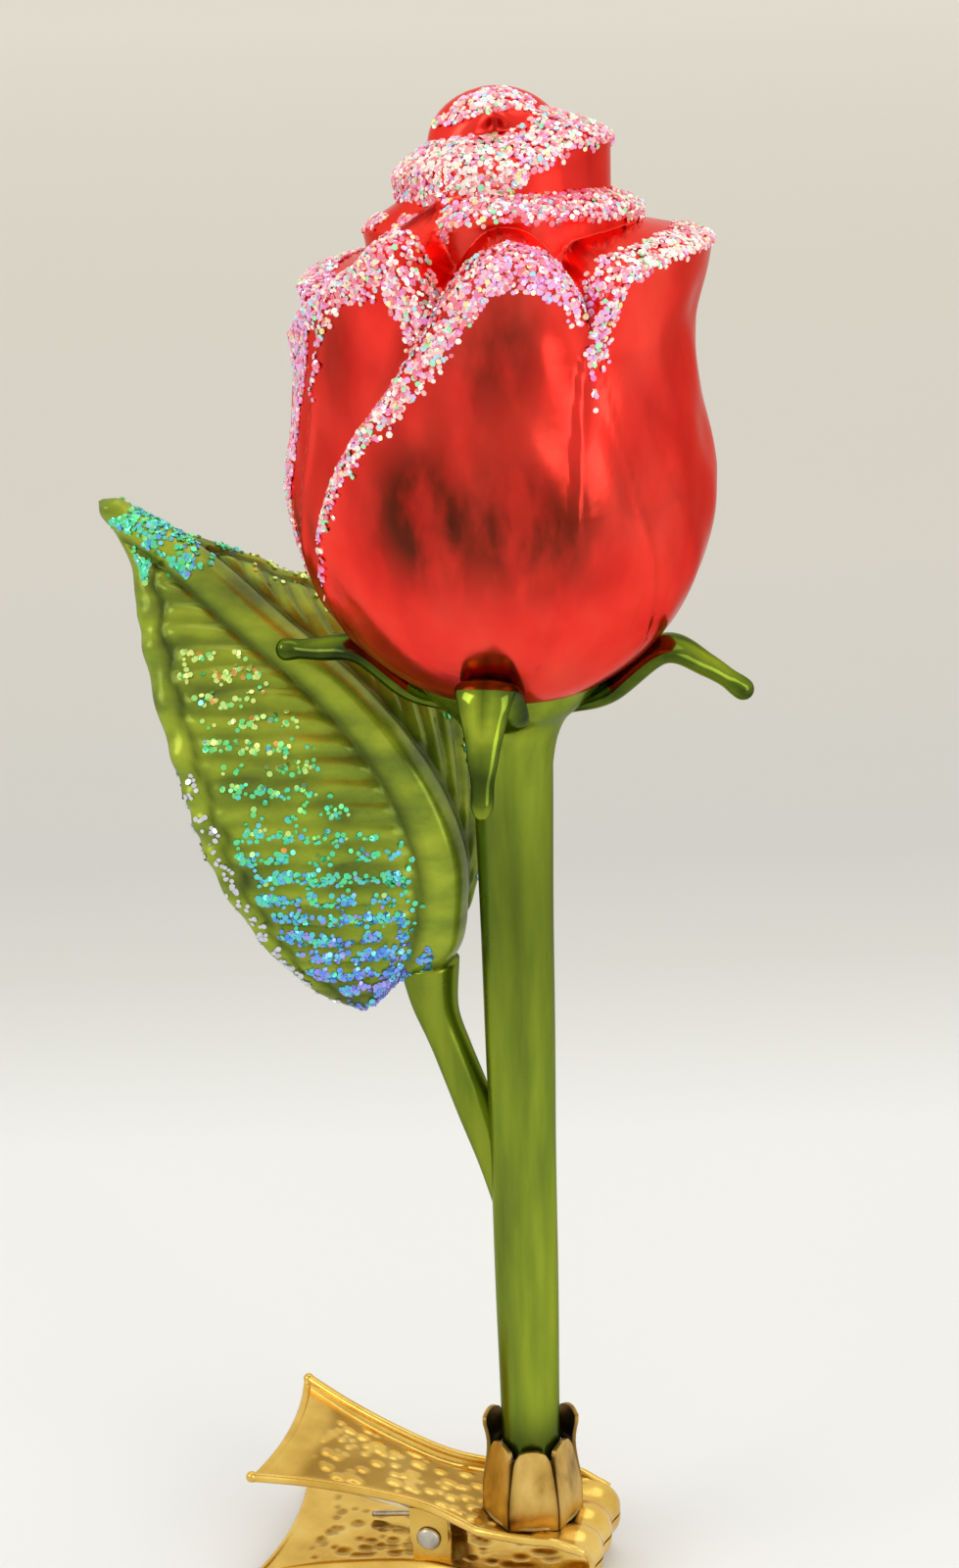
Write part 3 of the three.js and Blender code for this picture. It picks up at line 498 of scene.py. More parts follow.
INNER_WHORLS = [
    {"wall": BUD_RADIUS * 0.62, "sway": 0.5,
     "rim": [[-180, 49], [-120, 48], [-90, 49], [-60, 50.2], [-42, 50.4], [-30, 50.9], [-20, 51.7], [0, 52.3],
             [50, 52.2], [80, 51.2], [100, 50.6], [130, 49.6], [180, 49]],
     "frost": [[-180, 1.6], [-70, 0.4], [-48, 0.4], [-42, 3.6], [-30, 3.8], [-20, 1.4], [10, 1], [40, 1.5],
               [70, 2], [180, 1.6]]},
    {"wall": BUD_RADIUS * 0.48, "sway": 0.6,
     "rim": [[-180, 54.5], [-120, 53.2], [-90, 54.2], [-60, 55.4], [-20, 56.4], [0, 56.6], [25, 57.4],
             [48, 58.4], [75, 58.2], [100, 57.2], [130, 55.3], [180, 54.5]],
     "frost": [[-180, 1.6], [-110, 1.6], [-75, 3.6], [-20, 4.2], [2, 3.6], [16, 2.4], [40, 1.5],
               [100, 1.5], [180, 1.6]]},
]
HEART_WALL = BUD_RADIUS * 0.305
HEART_RIM = 56.2
HEART_TUCK_DEPTH = 1.9

# Past its rim a wall turns inwards, by this many millimetres for each one up, after a round of this radius
OUTER_LEDGE = 5.0
OUTER_ROUND = 0.8
WHORL_LEDGE = curve_through([[-180, 3], [-90, 1.7], [-30, 2.4], [30, 4], [90, 4], [180, 3]])
WHORL_ROUND = 1.3
LIP = 0.22

# Ripples of the blown wall: waves round the bud, turn for each millimetre up, start and height
RIPPLES = [(6, 0.21, 0, 0.13), (11, -0.37, 1, 0.10), (19, 0.55, 2, 0.06)]

# Steps of the grid of distances from a rim
FIELD_ANGLE = 0.75
FIELD_HEIGHT = 0.3


def gap_to_step(x, y, across, up):
    """Distance of points from a straight step that starts at 0, 0, and the share of it at which they lie."""
    t = np.clip((x * across + y * up) / (across * across + up * up), 0, 1)
    return np.hypot(x - t * across, y - t * up), t


def rim_field(petal, wall):
    """Signed distance from a petal's rim on a grid of angles and heights. It is negative inside the petal."""
    first, last = petal["rim"][0][0], petal["rim"][-1][0]
    per_degree = math.radians(1) * wall
    angles, heights = np.meshgrid(np.arange(first, last + FIELD_ANGLE, FIELD_ANGLE),
                                  np.arange(0, BUD_HEIGHT + 1, FIELD_HEIGHT), indexing="ij")
    along = np.linspace(first, last, 240)
    track = np.column_stack([along * per_degree, petal["rim_at"](along)])
    gap = np.full(angles.shape, 99.0)
    for start, end in zip(track, track[1:]):
        here = gap_to_step(angles * per_degree - start[0], heights - start[1], *(end - start))[0]
        gap = np.minimum(gap, here)
    return np.where(heights > petal["rim_at"](angles), gap, -gap)


for petal in OUTER_PETALS + INNER_WHORLS:
    petal["rim_at"] = curve_through(petal["rim"])
    petal["frost_at"] = curve_through(petal["frost"])
    petal["field"] = rim_field(petal, petal.get("wall", BUD_RADIUS))


def belly_wall(h):
    return BUD_RADIUS * np.sqrt(np.maximum(0, 1 - (1 - h / BELLY_HEIGHT) ** 2))


def petal_wall(h):
    return np.where(h < BELLY_HEIGHT, belly_wall(np.minimum(h, BELLY_HEIGHT)), PETAL_WALL(h))


def over_petal(petal, angle):
    """The angles as they are and a turn less and more, each with which of them the petal covers."""
    for around in (angle - 360, angle, angle + 360):
        yield around, (around >= petal["rim"][0][0]) & (around <= petal["rim"][-1][0])


def past_rim(petal, angle, h):
    """Distance of a point from a petal's rim, read from the petal's field."""
    field = petal["field"]
    i = np.clip((angle - petal["rim"][0][0]) / FIELD_ANGLE, 0, field.shape[0] - 1.001)
    j = np.clip(h / FIELD_HEIGHT, 0, field.shape[1] - 1.001)
    i0, j0 = i.astype(int), j.astype(int)
    low = mix(field[i0, j0], field[i0, j0 + 1], j - j0)
    high = mix(field[i0 + 1, j0], field[i0 + 1, j0 + 1], j - j0)
    return mix(low, high, i - i0)


def folded_in(over, ledge, soft):
    """How far a wall has turned inwards past its rim, with a slight lip along the rim."""
    rounded = np.where(over > soft, over, (np.maximum(over, -soft) + soft) ** 2 / (4 * soft))
    return ledge * rounded - LIP * bell(over, -0.7, 0.9)


def heart_tuck(angle, h):
    """The three-sided recess in the front of the heart, from 0 to 1."""
    return bell(angle, -2, mix(24, 9, smooth(56.8, 60.6, h))) * bell(h, 58.3, 1.5)


def bud_surface(angle, h):
    """Radius of the bud, distance past the rim of the petal that shows, and the width of its frost."""
    angle, h = np.broadcast_arrays(np.asarray(angle, float), np.asarray(h, float))
    shown = smooth(10, 36, h)
    sway = PETAL_SWAY * np.sin(np.radians(angle)) * shown
    radius = np.zeros(angle.shape)
    over = np.full(angle.shape, -50.0)
    frost = np.zeros(angle.shape)

    def cover(wall, past, width, here):
        nonlocal radius, over, frost
        wall = np.where(here, wall, 0)
        wins = wall > radius
        radius = np.where(wins, wall, radius)
        over = np.where(wins, past, over)
        frost = np.where(wins, width, frost)

    for petal in OUTER_PETALS:
        for around, here in over_petal(petal, angle):
            past = past_rim(petal, around, h)
            lift = (petal["lift"] + petal["flare"] * smooth(39, 46, h)) * shown
            wall = petal_wall(h) - sway + lift - folded_in(past, OUTER_LEDGE, OUTER_ROUND)
            cover(wall, past, petal["frost_at"](around), here)
    for whorl in INNER_WHORLS:
        wall = whorl["wall"] + whorl["sway"] * np.sin(np.radians(angle))
        past = past_rim(whorl, angle, h)
        wall = wall - folded_in(past, WHORL_LEDGE(angle), WHORL_ROUND)
        cover(wall, past, whorl["frost_at"](angle), h >= BELLY_HEIGHT)
    dome = np.clip((h - HEART_RIM) / (BUD_HEIGHT - HEART_RIM), 0, 1)
    cover(HEART_WALL * np.sqrt(1 - dome * dome), np.full(angle.shape, -50.0), frost * 0, h >= BELLY_HEIGHT)
    ripple = 0
    for waves, turn, start, tall in RIPPLES:
        ripple = ripple + tall * np.sin(np.radians(waves * angle) + turn * h + start)
    ripple = ripple * smooth(4, 12, h) * (1 - smooth(40, 48, h))
    return radius - HEART_TUCK_DEPTH * heart_tuck(angle, h) + ripple, over, frost


def bud_point(angle, h):
    r = bud_surface(angle, h)[0]
    a = np.radians(angle)
    return np.stack([r * np.sin(a), -r * np.cos(a), BUD_BASE + np.broadcast_to(h, r.shape)], axis=-1)


def under_bud(r):
    return BELLY_HEIGHT * (1 - np.sqrt(1 - (r / BUD_RADIUS) ** 2))


def outer_rim(angle):
    """Height of the highest outer rim at each angle."""
    best = np.zeros(np.shape(angle))
    for petal in OUTER_PETALS:
        for around, here in over_petal(petal, angle):
            best = np.maximum(best, np.where(here, petal["rim_at"](around), 0))
    return best


def bud_rows(angles, count):
    """Heights of the bud's rows at each angle. They follow the rims, and lie closer together there."""
    start = under_bud(BUD_NECK)
    rim = outer_rim(angles)
    lips = [rim] + [whorl["rim_at"](angles) for whorl in INNER_WHORLS]
    marks = [[0, start + 0 * rim], [0.06, 2 + 0 * rim], [0.42, lips[0] - 1.4], [0.62, lips[0] + 1.8],
             [0.68, lips[1] - 0.9], [0.78, lips[1] + 1], [0.82, lips[2] - 0.9], [0.91, lips[2] + 0.9],
             [0.98, BUD_HEIGHT - 0.2 + 0 * rim], [1, BUD_HEIGHT - 0.002 + 0 * rim]]
    shares = np.array([share for share, _ in marks])
    heights = np.maximum.accumulate(np.array([height for _, height in marks]), axis=0)
    for i in range(1, len(heights)):
        heights[i] = np.maximum(heights[i], heights[i - 1] + 0.05)
    heights = np.minimum(heights, BUD_HEIGHT - 0.002 * (1 + np.arange(len(heights))[::-1, None]))
    rows = []
    for u in np.linspace(0, 1, count):
        i = min(np.searchsorted(shares, u, side="right") - 1, len(shares) - 2)
        rows.append(mix(heights[i], heights[i + 1], (u - shares[i]) / (shares[i + 1] - shares[i])))
    return np.array(rows)


def hollows(radius, reach):
    """How far each point of a closed ring grid lies inside its neighbours."""
    around = sum(np.roll(radius, k, axis=1) for k in range(-reach, reach + 1)) / (2 * reach + 1)
    return around - radius


# Painted dark reflections on the bud: angle, height, half width, half height and strength
PAINTED_DARK_REFLECTIONS = [
    (-3, 41.5, 16, 8, 0.85),
    (-25, 25.5, 13, 7.5, 1),
    (6, 23.5, 25, 7, 1),
    (-50, 40, 8, 7, 0.55),
    (20, 5, 60, 6, 0.18),
]


def rose_bud():
    columns, count = 320, 220
    angles = np.linspace(-180, 180, columns, endpoint=False)
    rows = bud_rows(angles, count)
    points = bud_point(angles[None, :] + 0 * rows, rows)
    radius = np.hypot(points[..., 0], points[..., 1])
    # Painted shade in the hollows between the upper petals and in the heart's recess, then the painted dark
    # reflections.
    painted_shade = np.clip(hollows(radius, 5) / 0.7, 0, 1) * smooth(30, 44, rows)
    tuck = heart_tuck(angles[None, :], rows)
    painted_dark_reflection = sum(strength * bell(angles[None, :], angle, wide) * bell(rows, h, tall)
                for angle, h, wide, tall, strength in PAINTED_DARK_REFLECTIONS)
    made = mesh_object("bud", turned_with_flower(points), loft_faces(count, columns), red_lacquer(),
                       values={"painted_shade": np.maximum(painted_shade, tuck), "painted_dark_reflection": np.clip(painted_dark_reflection, 0, 1)})
    settle(made, "rose", "bud_glass", "rose_bud")


# Glitter: small six-sided flakes that lie on a surface, each a little tilted
FLAKE_SIDES = 6
FLAKE_RADIUS = 0.28
FLAKE_SPREAD = (0.7, 1.25)
FLAKE_LIFT = (0.1, 0.26)
FLAKE_THICKNESS = 0.16
FLAKE_TILT = 0.24


def flakes(name, at, normal, radius, tint, material):
    """One flake at each place, lying on the surface with that normal. tint picks its colour."""
    count = len(at)
    lean = unit(normal + RNG.normal(0, FLAKE_TILT, (count, 3)))
    side = unit(np.cross(lean, RNG.normal(0, 1, (count, 3))))
    front = np.cross(lean, side)
    size = radius * RNG.uniform(*FLAKE_SPREAD, count)
    lift = RNG.uniform(*FLAKE_LIFT, count)
    top = rings_round(at + lean * lift[:, None], side, front, size, FLAKE_SIDES)
    foot = top - lean[:, None] * FLAKE_THICKNESS
    points = np.concatenate([foot, top], axis=1)
    corners = 2 * FLAKE_SIDES
    one = loft_faces(2, FLAKE_SIDES)
    faces = [tuple(corners * i + k for k in face) for i in range(count) for face in one]
    return mesh_object(name, turned_with_flower(points), faces, material, sharp=20,
                       values={"flake": np.repeat(tint, corners)})


def surface_normals(point, u, v, du, dv):
    """Unit normals of a surface given as a function of u and v, from points a little to each side."""
    along = point(u + du, v) - point(u - du, v)
    across = point(u, v + dv) - point(u, v - dv)
    return unit(np.cross(along, across))


# Places where half or more of the glitter is of one colour: angle, height, reach round and up, and the colour
TINTED = [
    (12, 44, 16, 8, LILAC_BAND),
    (-70, 34, 18, 14, LILAC_BAND),
    (15, 50.5, 45, 1.8, ROSE_BAND),
    (55, 48, 24, 3, CREAM_BAND),
    (-25, 55.5, 40, 2, CREAM_BAND),
]
TINTED_SHARE = 0.6

# Wall radius times slope at which every flake is kept, and the height from which the glitter is the heart's
FULL_AREA = 42
HEART_FROM = 50.5

# Frost that does not follow a rim: [angle, height, half width] along its middle
LEFT_EDGE_FROST = [[-60, 45.5, 1.6], [-70, 42, 2.2], [-77, 34, 2.1], [-80, 25, 1.4], [-80, 15, 0.2]]
HEART_FROST = [[-75, 58.6, 0.4], [-48, 60, 1.2], [-20, 61.1, 1.3], [20, 61.2, 1], [50, 60.6, 0.8]]


def near_line(angle, h, radius, line):
    """Which points of the bud lie within a line's half width of it."""
    near = np.zeros(angle.shape, bool)
    wide = math.radians(1) * np.clip(radius, 4, 30)
    for (a0, h0, w0), (a1, h1, w1) in zip(line, line[1:]):
        gap, t = gap_to_step((angle - a0) * wide, h - h0, (a1 - a0) * wide, h1 - h0)
        near |= gap < mix(w0, w1, t)
    return near


def bud_glitter():
    """Flakes along the rims, thinned so that they lie equally close on steep and flat places."""
    tries = 120000
    angle = RNG.uniform(-180, 180, tries)
    h = RNG.uniform(10, BUD_HEIGHT - 0.05, tries)
    radius, over, frost = bud_surface(angle, h)
    ragged = RNG.normal(0, 0.28, tries)
    above = mix(0.7, 1.9, smooth(52, 54, h))
    wanted = (frost > 0.15) & (over > -frost + ragged) & (over < above)
    for line in (LEFT_EDGE_FROST, HEART_FROST):
        wanted |= near_line(angle, h, radius, line)
    step = 0.2
    steep = np.abs(bud_surface(angle, h + step)[0] - radius) / step
    area = radius * np.hypot(1, np.minimum(steep, 6))
    keep = wanted & (RNG.uniform(0, FULL_AREA, tries) < area)
    angle, h = angle[keep], h[keep]
    at = bud_point(angle, h)
    normal = surface_normals(bud_point, angle, h, 0.8, 0.15)
    tint = RNG.uniform(0, 1, len(at))
    for middle, high, wide, tall, band in TINTED:
        near = bell(angle, middle, wide) * bell(h, high, tall)
        in_band = mix(*band, RNG.uniform(0, 0.99, len(at)))
        tint = np.where(RNG.uniform(0, 1, len(at)) < TINTED_SHARE * near, in_band, tint)
    opal = opal_flakes()
    for name, some in (("petal_glitter", h < HEART_FROM), ("heart_glitter", h >= HEART_FROM)):
        made = flakes(name, at[some], normal[some], FLAKE_RADIUS, tint[some], opal)
        settle(made, "rose", "bud_glass")


# Calyx, sepals and stem
SEPAL_WIDTH = 6.8
SEPAL_THICKNESS = 2.8
SEPAL_TIP_RADIUS = 1.15
SEPAL_BALL_FROM = 0.93
SEPAL_BALL_CLOSES_FROM = 0.945

# Each sepal's angle, the share of the bud's radius at which it leaves the bud, how far out and how high
# its tip lies, and how strong the painted shade on its end is
SEPALS = [
    {"name": "front", "angle": -9, "leave": 0.72, "reach": 21.6, "tip": -5.0, "dark": 1},
    {"name": "right", "angle": 82, "leave": 0.68, "reach": 24.6, "tip": 0.6, "dark": 0.5},
    {"name": "back", "angle": 172, "leave": 0.66, "reach": 24, "tip": 2.0, "dark": 0.8},
    {"name": "left", "angle": -98, "leave": 0.66, "reach": 24.2, "tip": 4.8, "dark": 0.8},
]


def stem_painted_shade(z):
    """Painted shade on the green by height: where the stem leaves the crown and in its upper part."""
    return 0.95 * bell(z, CROWN_FLOOR + CROWN_HEIGHT, 4) + 0.6 * bell(z, STEM_TOP - 20, 16)


def calyx(material):
    """The flared cup from the stem's top to the bud's underside."""
    high = BUD_BASE + under_bud(CALYX_RIM) + 0.2
    low = STEM_TOP - 6
    outer = curve_through([[low, STEM_TOP_RADIUS - 0.15], [STEM_TOP - 3, STEM_TOP_RADIUS + 0.15],
                           [STEM_TOP - 0.5, STEM_TOP_RADIUS + 0.7], [STEM_TOP + 1.6, 5.9],
                           [STEM_TOP + 3.6, 8], [high, CALYX_RIM + 0.1]])
    heights = np.linspace(low, high, 34)
    profile = [[outer(z), z] for z in heights]
    profile += [[r, BUD_BASE + under_bud(r) + 0.1] for r in np.linspace(CALYX_RIM - 0.2, BUD_NECK, 6)]
    sides = 72
    rings = lathe_rings(profile, sides)
    # The same painted shade by height as the stem.
    made = mesh_object("calyx_cup", rings, loft_faces(len(profile), sides), material,
                       values={"painted_shade": stem_painted_shade(rings[..., 2])})
    settle(made, "rose", "stem_glass", "calyx")


def sepal(one):
    """A tongue that lies on the bud's underside, leaves it and ends in a small ball."""
    half = SEPAL_THICKNESS / 2

    def hug(r):
        slope = (BELLY_HEIGHT / BUD_RADIUS) * (r / BUD_RADIUS) / math.sqrt(1 - (r / BUD_RADIUS) ** 2)
        steep = math.hypot(1, slope)
        return [r + half * slope / steep, 0, under_bud(r) - half / steep]

    off = hug(BUD_RADIUS * one["leave"])
    bend = [mix(off[0], one["reach"], 0.5), 0, mix(off[2], one["tip"], 0.36)]
    end = [one["reach"], 0, one["tip"]]
    line = line_through([hug(BUD_NECK + 0.9), hug(CALYX_RIM * 0.95), off, bend, end])
    stations, sides = 76, 36
    tip = mix(SEPAL_BALL_FROM, 1, np.sin(np.linspace(0, np.pi / 2, 17)[1:]))
    t = np.concatenate([np.linspace(0, SEPAL_BALL_FROM, 60), tip])
    at = line(t)
    along = tangents(line, t)
    out = np.stack([along[:, 2], np.zeros(stations), -along[:, 0]], axis=-1)
    ball = smooth(0.84, SEPAL_BALL_FROM, t)
    closing = np.maximum(t - SEPAL_BALL_CLOSES_FROM, 0) / (1 - SEPAL_BALL_CLOSES_FROM)
    close = np.sqrt(np.clip(1 - closing ** 2, 0.0004, 1))
    width = curve_through([[0, 0.62], [0.3, 1], [0.55, 0.86], [0.75, 0.55], [0.9, 0.34]])
    depth = curve_through([[0, 0.6], [0.3, 1], [0.6, 0.9], [0.9, 0.66]])
    w = mix(SEPAL_WIDTH / 2 * width(t), SEPAL_TIP_RADIUS, ball) * close
    d = mix(half * depth(t), SEPAL_TIP_RADIUS, ball) * close
    a = round_angles(sides)
    rings = at[:, None] + out[:, None] * (d[:, None] * np.sin(a)[None])[..., None]
    rings[..., 1] -= w[:, None] * np.cos(a)[None]
    rings[..., 2] += BUD_BASE
    rings = turned_with_flower(turned(rings, one["angle"] - 90))
    # Painted shade: darker along the tongue's sides, along its middle partway out and near its end.
    edges = 0.95 * np.cos(a)[None] ** 2
    hollow = 0.8 * bell(np.cos(a)[None], 0, 0.24) * bell(t[:, None], 0.6, 0.14)
    painted_end_shade = one["dark"] * bell(t[:, None], 0.9, 0.12)
    dark = np.maximum(np.maximum(edges, hollow), painted_end_shade)
    node = "sepal_" + one["name"]
    lacquer = green_lacquer("sepal_lacquer_" + one["name"], shade=1.75, stretch=(0.6, 0.6, 0.6), cloud=1,
                            metal=1, rough=(0.1, 0.2))
    made = mesh_object(node + "_glass", rings, loft_faces(stations, sides), lacquer, values={"painted_shade": dark})
    settle(made, "rose", "stem_glass", node)


def stem(material):
    """A drawn tube, a little out of round, darker in places as painted shade."""
    stations, sides = 90, 64
    heights = np.linspace(STEM_FOOT, STEM_TOP + 1.2, stations)
    share = np.clip((heights - STEM_FOOT) / (STEM_TOP - STEM_FOOT), 0, 1)
    profile = np.column_stack([mix(STEM_FOOT_RADIUS, STEM_TOP_RADIUS, share), heights])
    rings = lathe_rings(profile, sides)
    a = round_angles(sides)[None, :]
    up = heights[:, None]
    wobble = 1 + 0.012 * np.sin(2 * a + 0.07 * up) + 0.008 * np.sin(0.21 * up + 1)
    rings[..., :2] *= wobble[..., None]
    # Painted shade by height.
    made = mesh_object("stem_tube", rings, loft_faces(stations, sides), material,
                       values={"painted_shade": stem_painted_shade(rings[..., 2])})
    settle(made, "rose", "stem_glass", "stem")


# Leaf and its stalk: points are to the right, to the back and up from the clip's upper face
STALK_POINTS = [[-1.2, 0.6, 36], [-3.1, 1.4, 44], [-5.2, 2.2, 50.4], [-7.2, 3.1, 56], [-8.9, 3.9, 61],
                [-9.5, 4.15, 66.2]]
MIDRIB_POINTS = [[-9.65, 4.25, 65.4], [-8.9, 3.9, 72.3], [-8.9, 3.8, 79], [-11.7, 4.9, 86.4],
                 [-17.6, 7.3, 93.9], [-25.6, 10.5, 100.7], [-32.6, 13.4, 107], [-38, 15.4, 111],
                 [-42.4, 17, 114.6]]
STALK_SHADE = 0.35
LEAF_THICKNESS = 6.4
LEAF_LEFT = unit(np.array([-0.985, -0.16, -0.06]))
LEAF_RIGHT = unit(np.array([0.42, 0.86, 0.28]))
LEFT_WIDTH = curve_through([[0, 2.6], [0.05, 10], [0.13, 17.6], [0.24, 22.2], [0.36, 22.6], [0.5, 18.8],
                            [0.62, 12.9], [0.72, 8], [0.8, 4.5], [0.9, 2.1], [0.96, 1.5], [1, 0.3]])
RIGHT_WIDTH = curve_through([[0, 2.4], [0.08, 6], [0.2, 11.5], [0.36, 15.5], [0.5, 15.4], [0.62, 11.3],
                             [0.72, 6.8], [0.8, 3.8], [0.9, 2.1], [0.96, 1.5], [1, 0.3]])
LOBE_DROP = 5.0
LEAF_DEPTH = curve_through([[0, 0.7], [0.12, 1], [0.5, 1], [0.8, 0.7], [0.92, 0.44], [0.97, 0.48], [1, 0.1]])
RIB_PITCH = 2.15
RIB_DEPTH = 0.42
MIDRIB_HALF = 2.0
MIDRIB_HEIGHT = 0.9
CRIMPS = 15
CRIMP_OUT = 0.14
CRIMP_UP = 0.32


def raised(points):
    return [[x, y, PLATE_TOP + h] for x, y, h in points]


def leaf_stalk(material):
    """A tube from the stem's side that flares into the leaf."""
    stations, sides = 60, 40
    line = line_through(raised(STALK_POINTS))
    radius = curve_through([[0, 1.5], [0.3, 2.1], [0.7, 2.15], [0.86, 2.7], [1, 3.3]])
    rings = tube_rings(line, radius(np.linspace(0, 1, stations)), sides, stations)
    made = mesh_object("stalk_tube", turned_with_flower(rings), loft_faces(stations, sides), material,
                       values={"painted_shade": np.full((stations, sides), STALK_SHADE)})
    settle(made, "rose", "stem_glass", "leaf_stalk")


MIDRIB = line_through(raised(MIDRIB_POINTS))


def leaf_surface(t, a):
    """A point of the leaf at t along its midrib and angle a round it, and the painted shade there: in the
    grooves between its ribs, beside its midrib and along its margin.
    """
    t, a = np.broadcast_arrays(np.asarray(t, float), np.asarray(a, float))
    at = MIDRIB(t)
    along = tangents(MIDRIB, t)
    left_face = unit(np.cross(along, LEAF_LEFT))
    right_face = unit(np.cross(LEAF_RIGHT, along))
    across = np.cos(a)
    left = across < 0
    crimp = np.sin(2 * np.pi * CRIMPS * t + 2 * np.sin(17 * t))
    crimp *= smooth(0.05, 0.15, t) * (1 - smooth(0.62, 0.76, t))
    width = np.maximum(0.05, np.where(left, LEFT_WIDTH(t), RIGHT_WIDTH(t)) + CRIMP_OUT * crimp)
    face = unit(mix(left_face, right_face, smooth(-0.25, 0.25, across)[..., None]))
    out = np.abs(across) * width
    point = at + np.where(left[..., None], LEAF_LEFT, LEAF_RIGHT) * out[..., None]
    lobe = smooth(2, 8.1, out) * (1 - 0.6 * smooth(12, 22, out)) * (1 - smooth(0.02, 0.3, t))
    point[..., 2] -= np.where(left, LOBE_DROP, 0) * lobe
    sine = np.sin(a)
    body = np.sign(sine) * np.abs(sine) ** 0.7
    flat = np.abs(body)
    height = point[..., 2] - PLATE_TOP
    slant = np.where(left, height - 0.05 * out, height * 0.75 - 0.85 * out)
    wave = 0.5 + 0.5 * np.cos(2 * np.pi * slant / RIB_PITCH + 0.5 * np.sin(0.7 * out))
    ridge = wave ** 0.7
    edge = width - 2.4 - 0.35 * np.sin(2 * np.pi * height / (2 * RIB_PITCH))
    field = smooth(MIDRIB_HALF + 0.5, MIDRIB_HALF + 1.4, out) * (1 - smooth(edge - 1.0, edge - 0.1, out))
    field *= smooth(0.02, 0.1, t) * (1 - smooth(0.72, 0.88, t))
    spine = smooth(0.0, 0.08, t) * (1 - smooth(0.86, 0.96, t))
    groove = bell(out, MIDRIB_HALF + 0.5, 0.6) * spine
    hem = bell(out, edge, 0.55) * smooth(0.03, 0.1, t) * (1 - smooth(0.74, 0.86, t)) * (width > 5)
    shape = RIB_DEPTH * (ridge - 0.6) * field + MIDRIB_HEIGHT * bell(out, 0, MIDRIB_HALF * 0.8) * spine
    shape -= 0.45 * groove + 0.4 * hem
    waved = CRIMP_UP * crimp * smooth(width - 3, width, out)
    deep = LEAF_THICKNESS / 2 * LEAF_DEPTH(t) * body + np.sign(body) * np.minimum(1, flat * 1.4) * shape
    # Painted shade in the rib grooves, beside the midrib and along the margin.
    dark = np.clip(0.36 * (1 - ridge) * field + 0.9 * groove + 0.95 * hem, 0, 1) * np.minimum(1, flat * 1.4)
    return point + face * (deep + waved)[..., None], dark


def leaf():
    """A hollow blown leaf, folded along its midrib. Its points lie closer together at its edges."""
    stations, sides = 330, 132
    t = np.linspace(0, 1, stations)
    a = -round_angles(sides)
    a = a + 0.28 * np.sin(2 * a)
    points, dark = leaf_surface(t[:, None], a[None, :])
    lacquer = green_lacquer("leaf_lacquer", shade=1.5, stretch=(0.5, 0.5, 1), cloud=0.8, metal=0.38)
    made = mesh_object("leaf_blade", turned_with_flower(points), loft_faces(stations, sides), lacquer,
                       values={"painted_shade": dark})
    settle(made, "rose", "leaf_glass", "leaf")


def leaf_point(t, a):
    return leaf_surface(t, a)[0]


LEAF_FLAKE = 0.29
GLITTER_SHARE = 0.95

# Where the leaf's glitter lies: heights above the clip and, for the tip, shares of the midrib
FOOT_GLITTER_BELOW = 83
ROWS_BETWEEN = (80, 101)
FROST_BELOW = 90
TIP_BETWEEN = (0.74, 0.93)


def leaf_glitter():
    """Rows of flakes on the ribs, bluest at the leaf's foot and pale at its edges, and a patch at its tip."""
    tries = 120000
    t = RNG.uniform(0.01, 0.97, tries)
    a = RNG.uniform(0, 2 * np.pi, tries)
    across = np.cos(a)
    left = across < 0
    width = np.where(left, LEFT_WIDTH(t), RIGHT_WIDTH(t))
    at, dark = leaf_surface(t, a)
    height = at[..., 2] - PLATE_TOP
    seen = np.sin(a) > 0.25
    share = np.abs(across)
    ridge = dark < 0.14
    foot = left & (height < FOOT_GLITTER_BELOW) & between(share, 0.1, 0.86)
    rows = left & between(height, *ROWS_BETWEEN) & between(share, 0.3, 0.82)
    tip = between(t, *TIP_BETWEEN) & (share < 0.85)
    right = ~left & (share > 0.5)
    frosted = (height < FROST_BELOW) & (share > np.where(left, 0.9, 0.6))
    chance = np.where(foot, np.clip(1.25 - (height - 62) / 24, 0, 1), 0)
    for where, most in ((rows, 0.3), (tip, 0.9), (right, 0.1), (frosted, 0.1)):
        chance = np.maximum(chance, np.where(where, most, 0))
    patch = 0.5 + 0.8 * np.sin(0.9 * at[..., 0] + 0.5 * height) * np.sin(0.6 * at[..., 0] - 1.1 * height)
    chance = chance * np.where(ridge, 1.0, 0.06) * np.clip(0.25 + patch, 0, 1) * np.where(seen, 1.0, 0.2)
    keep = RNG.uniform(0, 1, tries) < chance * width / LEFT_WIDTH(0.36) * GLITTER_SHARE
    t, a, at, height, frosted = t[keep], a[keep], at[keep], height[keep], frosted[keep]
    normal = surface_normals(leaf_point, t, a, 0.004, 0.03)
    blue = 0.86 - (height - 64) / 40
    tint = np.clip(np.where(t > 0.72, 0.42, blue) + RNG.normal(0, 0.16, len(at)), 0, BLUEST)
    tint = np.where(frosted, 1, tint)
    made = flakes("leaf_glitter", at, normal, LEAF_FLAKE, tint, sea_flakes())
    settle(made, "rose", "leaf_glass")


